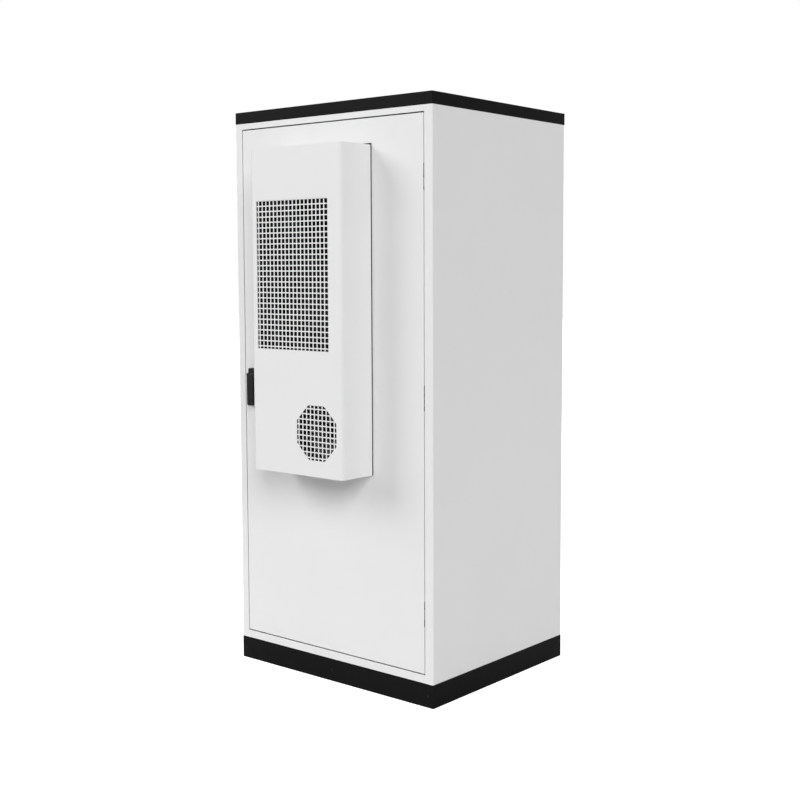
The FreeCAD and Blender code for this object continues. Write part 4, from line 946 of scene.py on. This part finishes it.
# Upright fins that stand in front of the condenser coil
def makeFins(values):
    low, high = placeOf("condenser_coil")
    margin = values["margin"]
    left, right = low[0] + margin, high[0] - margin
    fin = boxShape((0, 0, low[2] + margin),
                   (values["finThick"], values["finDepth"], high[2] - margin))
    front = placeOf("ac_screens")[1][1] + values["screenGap"]
    places = [(left + step * values["finStep"], front, 0)
              for step in range(int((right - left) / values["finStep"]))]
    addPiece("coilFins", repeated(fin, places), "door", "fins")


grilleValues = {"holeGrow": 0.0007, "same": 1e-4, "sheetLap": 0.014, "windowSides": 8,
                "near": 0.0004, "level": 0.00004}


# The lines of a grid of holes, from the sheet's low edge to its high edge, each hole grown a little
def gridLines(places, values):
    lines = np.sort(places)
    lines = lines[np.concatenate([[True], np.diff(lines) > values["same"]])]
    lines[1:-1:2] -= values["holeGrow"]
    lines[2:-1:2] += values["holeGrow"]
    return lines


# A perforated sheet: a cell of the grid is a hole where both of its numbers are odd, else it is sheet
def perforatedShape(xLines, zLines, front, back):
    across, up = len(xLines), len(zLines)
    x, z = np.meshgrid(xLines, zLines, indexing="ij")
    points = np.concatenate([np.stack([x, np.full_like(x, y), z], -1).reshape(-1, 3)
                             for y in (front, back)])
    columns, rows, first = np.arange(across - 1), np.arange(up - 1), np.zeros(1, int)
    i, j = np.meshgrid(columns, rows, indexing="ij")
    hole = (i % 2 == 1) & (j % 2 == 1)

    # Quads whose corners are grid steps and a layer, 0 in front and 1 behind
    def quads(i, j, *corners):
        return np.stack([(i + di) * up + j + dj + layer * across * up for di, dj, layer in corners],
                        -1).reshape(-1, 4)

    faces = [quads(i[~hole], j[~hole], (0, 0, 0), (1, 0, 0), (1, 1, 0), (0, 1, 0)),
             quads(i[~hole], j[~hole], (0, 0, 1), (0, 1, 1), (1, 1, 1), (1, 0, 1))]
    walls = {"left": ((0, 0, 0), (0, 0, 1), (0, 1, 1), (0, 1, 0)),
             "right": ((1, 0, 0), (1, 1, 0), (1, 1, 1), (1, 0, 1)),
             "bottom": ((0, 0, 0), (1, 0, 0), (1, 0, 1), (0, 0, 1)),
             "top": ((0, 1, 0), (0, 1, 1), (1, 1, 1), (1, 1, 0))}
    faces += [quads(i[hole], j[hole], *wall) for wall in walls.values()]
    for name, column, row in (("left", first, rows), ("right", first + across - 2, rows),
                              ("bottom", columns, first), ("top", columns, first + up - 2)):
        faces.append(quads(column, row, *walls[name][::-1]))
    return points, np.concatenate(faces).tolist()


# The two perforated sheets behind the windows of the cover, on the grid lines of the CAD sheets
def makeGrilles(values):
    low, high = placeOf("ac_screens")
    mesh = nodes["ac_screens"].data
    points = np.empty(len(mesh.vertices) * 3)
    mesh.vertices.foreach_get("co", points)
    points = points.reshape(-1, 3)
    between = (placeOf("condenser_coil")[0][2] + placeOf("condenser_fan")[1][2]) / 2
    sheets = [points[points[:, 2] > between], points[points[:, 2] < between]]
    shapes = [perforatedShape(gridLines(sheet[:, 0], values), gridLines(sheet[:, 2], values),
                              low[1], high[1]) for sheet in sheets]
    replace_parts(addPiece("acGrilles", joined(*shapes), "door", "white_paint"), "ac_screens")
    cutWindow(sheets[1], values)


# The fan's window: the round rims in the copied cover move out to a polygon whose sides touch them,
# and the flat faces round them are filled again
def cutWindow(sheet, values):
    mesh = bpy.data.objects["ac_cover.rolled"].data
    centre = (sheet.min(0) + sheet.max(0)) / 2
    radius = (sheet.max(0) - sheet.min(0))[0] / 2 - values["sheetLap"]
    side = 2 * math.pi / values["windowSides"]
    work = bmesh.new()
    work.from_mesh(mesh)
    rim = [vert for vert in work.verts if vert.co.y < sheet[:, 1].min() + values["near"]
           and abs(math.hypot(vert.co.x - centre[0], vert.co.z - centre[2]) - radius) < values["near"]]
    borders = []
    for level in (min(vert.co.y for vert in rim), max(vert.co.y for vert in rim)):
        flat = {face for face in work.faces
                if all(abs(vert.co.y - level) < values["level"] for vert in face.verts)}
        borders.append([edge for edge in work.edges
                        if sum(face in flat for face in edge.link_faces) == 1])
        bmesh.ops.delete(work, geom=list(flat), context="FACES_KEEP_BOUNDARY")
    for vert in rim:
        x, z = vert.co.x - centre[0], vert.co.z - centre[2]
        offSide = (math.atan2(z, x) + side / 2) % side - side / 2
        vert.co.x = centre[0] + x / math.cos(offSide)
        vert.co.z = centre[2] + z / math.cos(offSide)
    for border, outward in zip(borders, (-1, 1)):
        bmesh.ops.triangle_fill(work, edges=border, use_beauty=True, normal=(0, outward, 0))
    work.to_mesh(mesh)
    work.free()
    smoothBelowAngle(mesh)
    print("fan window:", len(rim), "rim points moved")


# Door

linerValues = {"step": 0.19, "inset": 0.012, "screwRadius": 0.0042, "screwHeight": 0.0026,
               "screwSocket": 0.002, "washerRadius": 0.0065, "washerThick": 0.0008}


# Self-tapping screws round the rim of the door's inner liner
def makeLinerScrews(values):
    low, high = placeOf("door_liner")
    inset, step = values["inset"], values["step"]
    left, right, bottom, top = low[0] + inset, high[0] - inset, low[2] + inset, high[2] - inset
    rows = np.linspace(bottom, top, int((top - bottom) / step) + 1)
    columns = np.linspace(left, right, int((right - left) / step) + 1)[1:-1]
    places = [(x, high[1], z) for x in (left, right) for z in rows]
    places += [(x, high[1], z) for z in (bottom, top) for x in columns]
    addPiece("linerScrews", repeated(facing(washeredScrew(values), "+y"), places), "door", "steel")


sealValues = {"width": 0.012, "corner": 0.028, "cornerSteps": 8, "baseDepth": 0.0065,
              "neck": 0.0018, "bulbRadius": 0.006, "bulbTurn": (215, -35), "bulbSteps": 13}


# The seal: a clip with a round bulb, its profile carried round the rounded rim of the door
def makeSeal(values):
    low, high = placeOf("door_seal")
    middle = middleOf("door_seal")
    half, radius = values["width"] / 2, values["bulbRadius"]
    base, neck = values["baseDepth"], values["neck"]
    depth = high[1] - low[1]
    first, last = values["bulbTurn"]
    bulb = [(half + radius * math.cos(a), depth - radius + radius * math.sin(a))
            for a in np.radians(np.linspace(first, last, values["bulbSteps"]))]
    profile = [(0.0, 0.0), (0.0, base), (neck, base), *bulb, (2 * half - neck, base),
               (2 * half, base), (2 * half, 0.0)]
    rings = []
    for inset, level in profile[::-1]:
        outline = roundedOutline(high[0] - low[0] - 2 * inset, high[2] - low[2] - 2 * inset,
                                 values["corner"] - inset, values["cornerSteps"])
        rings.append(np.stack([outline[:, 0] + middle[0], np.full(len(outline), low[1] + level),
                               outline[:, 1] + middle[2]], -1))
    seal = addPiece("sealBulb", ringsShape(np.array(rings), closed=True), "door", "rubber")
    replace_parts(seal, "door_seal")


makeRackScrews(rackValues)
makeRackHoleShade(rackValues)
makeModuleLouvres(louvreValues)
makeTerminalGuards(terminalValues)
makeModuleFittings(fittingValues)
makeControlFittings(controlValues)
makeCanister(canisterValues)
makeDetector(detectorValues)
print("rack and equipment ready")
makeFins(coilValues)
makeGrilles(grilleValues)
makeLinerScrews(linerValues)
makeSeal(sealValues)
print("door and air conditioner ready")
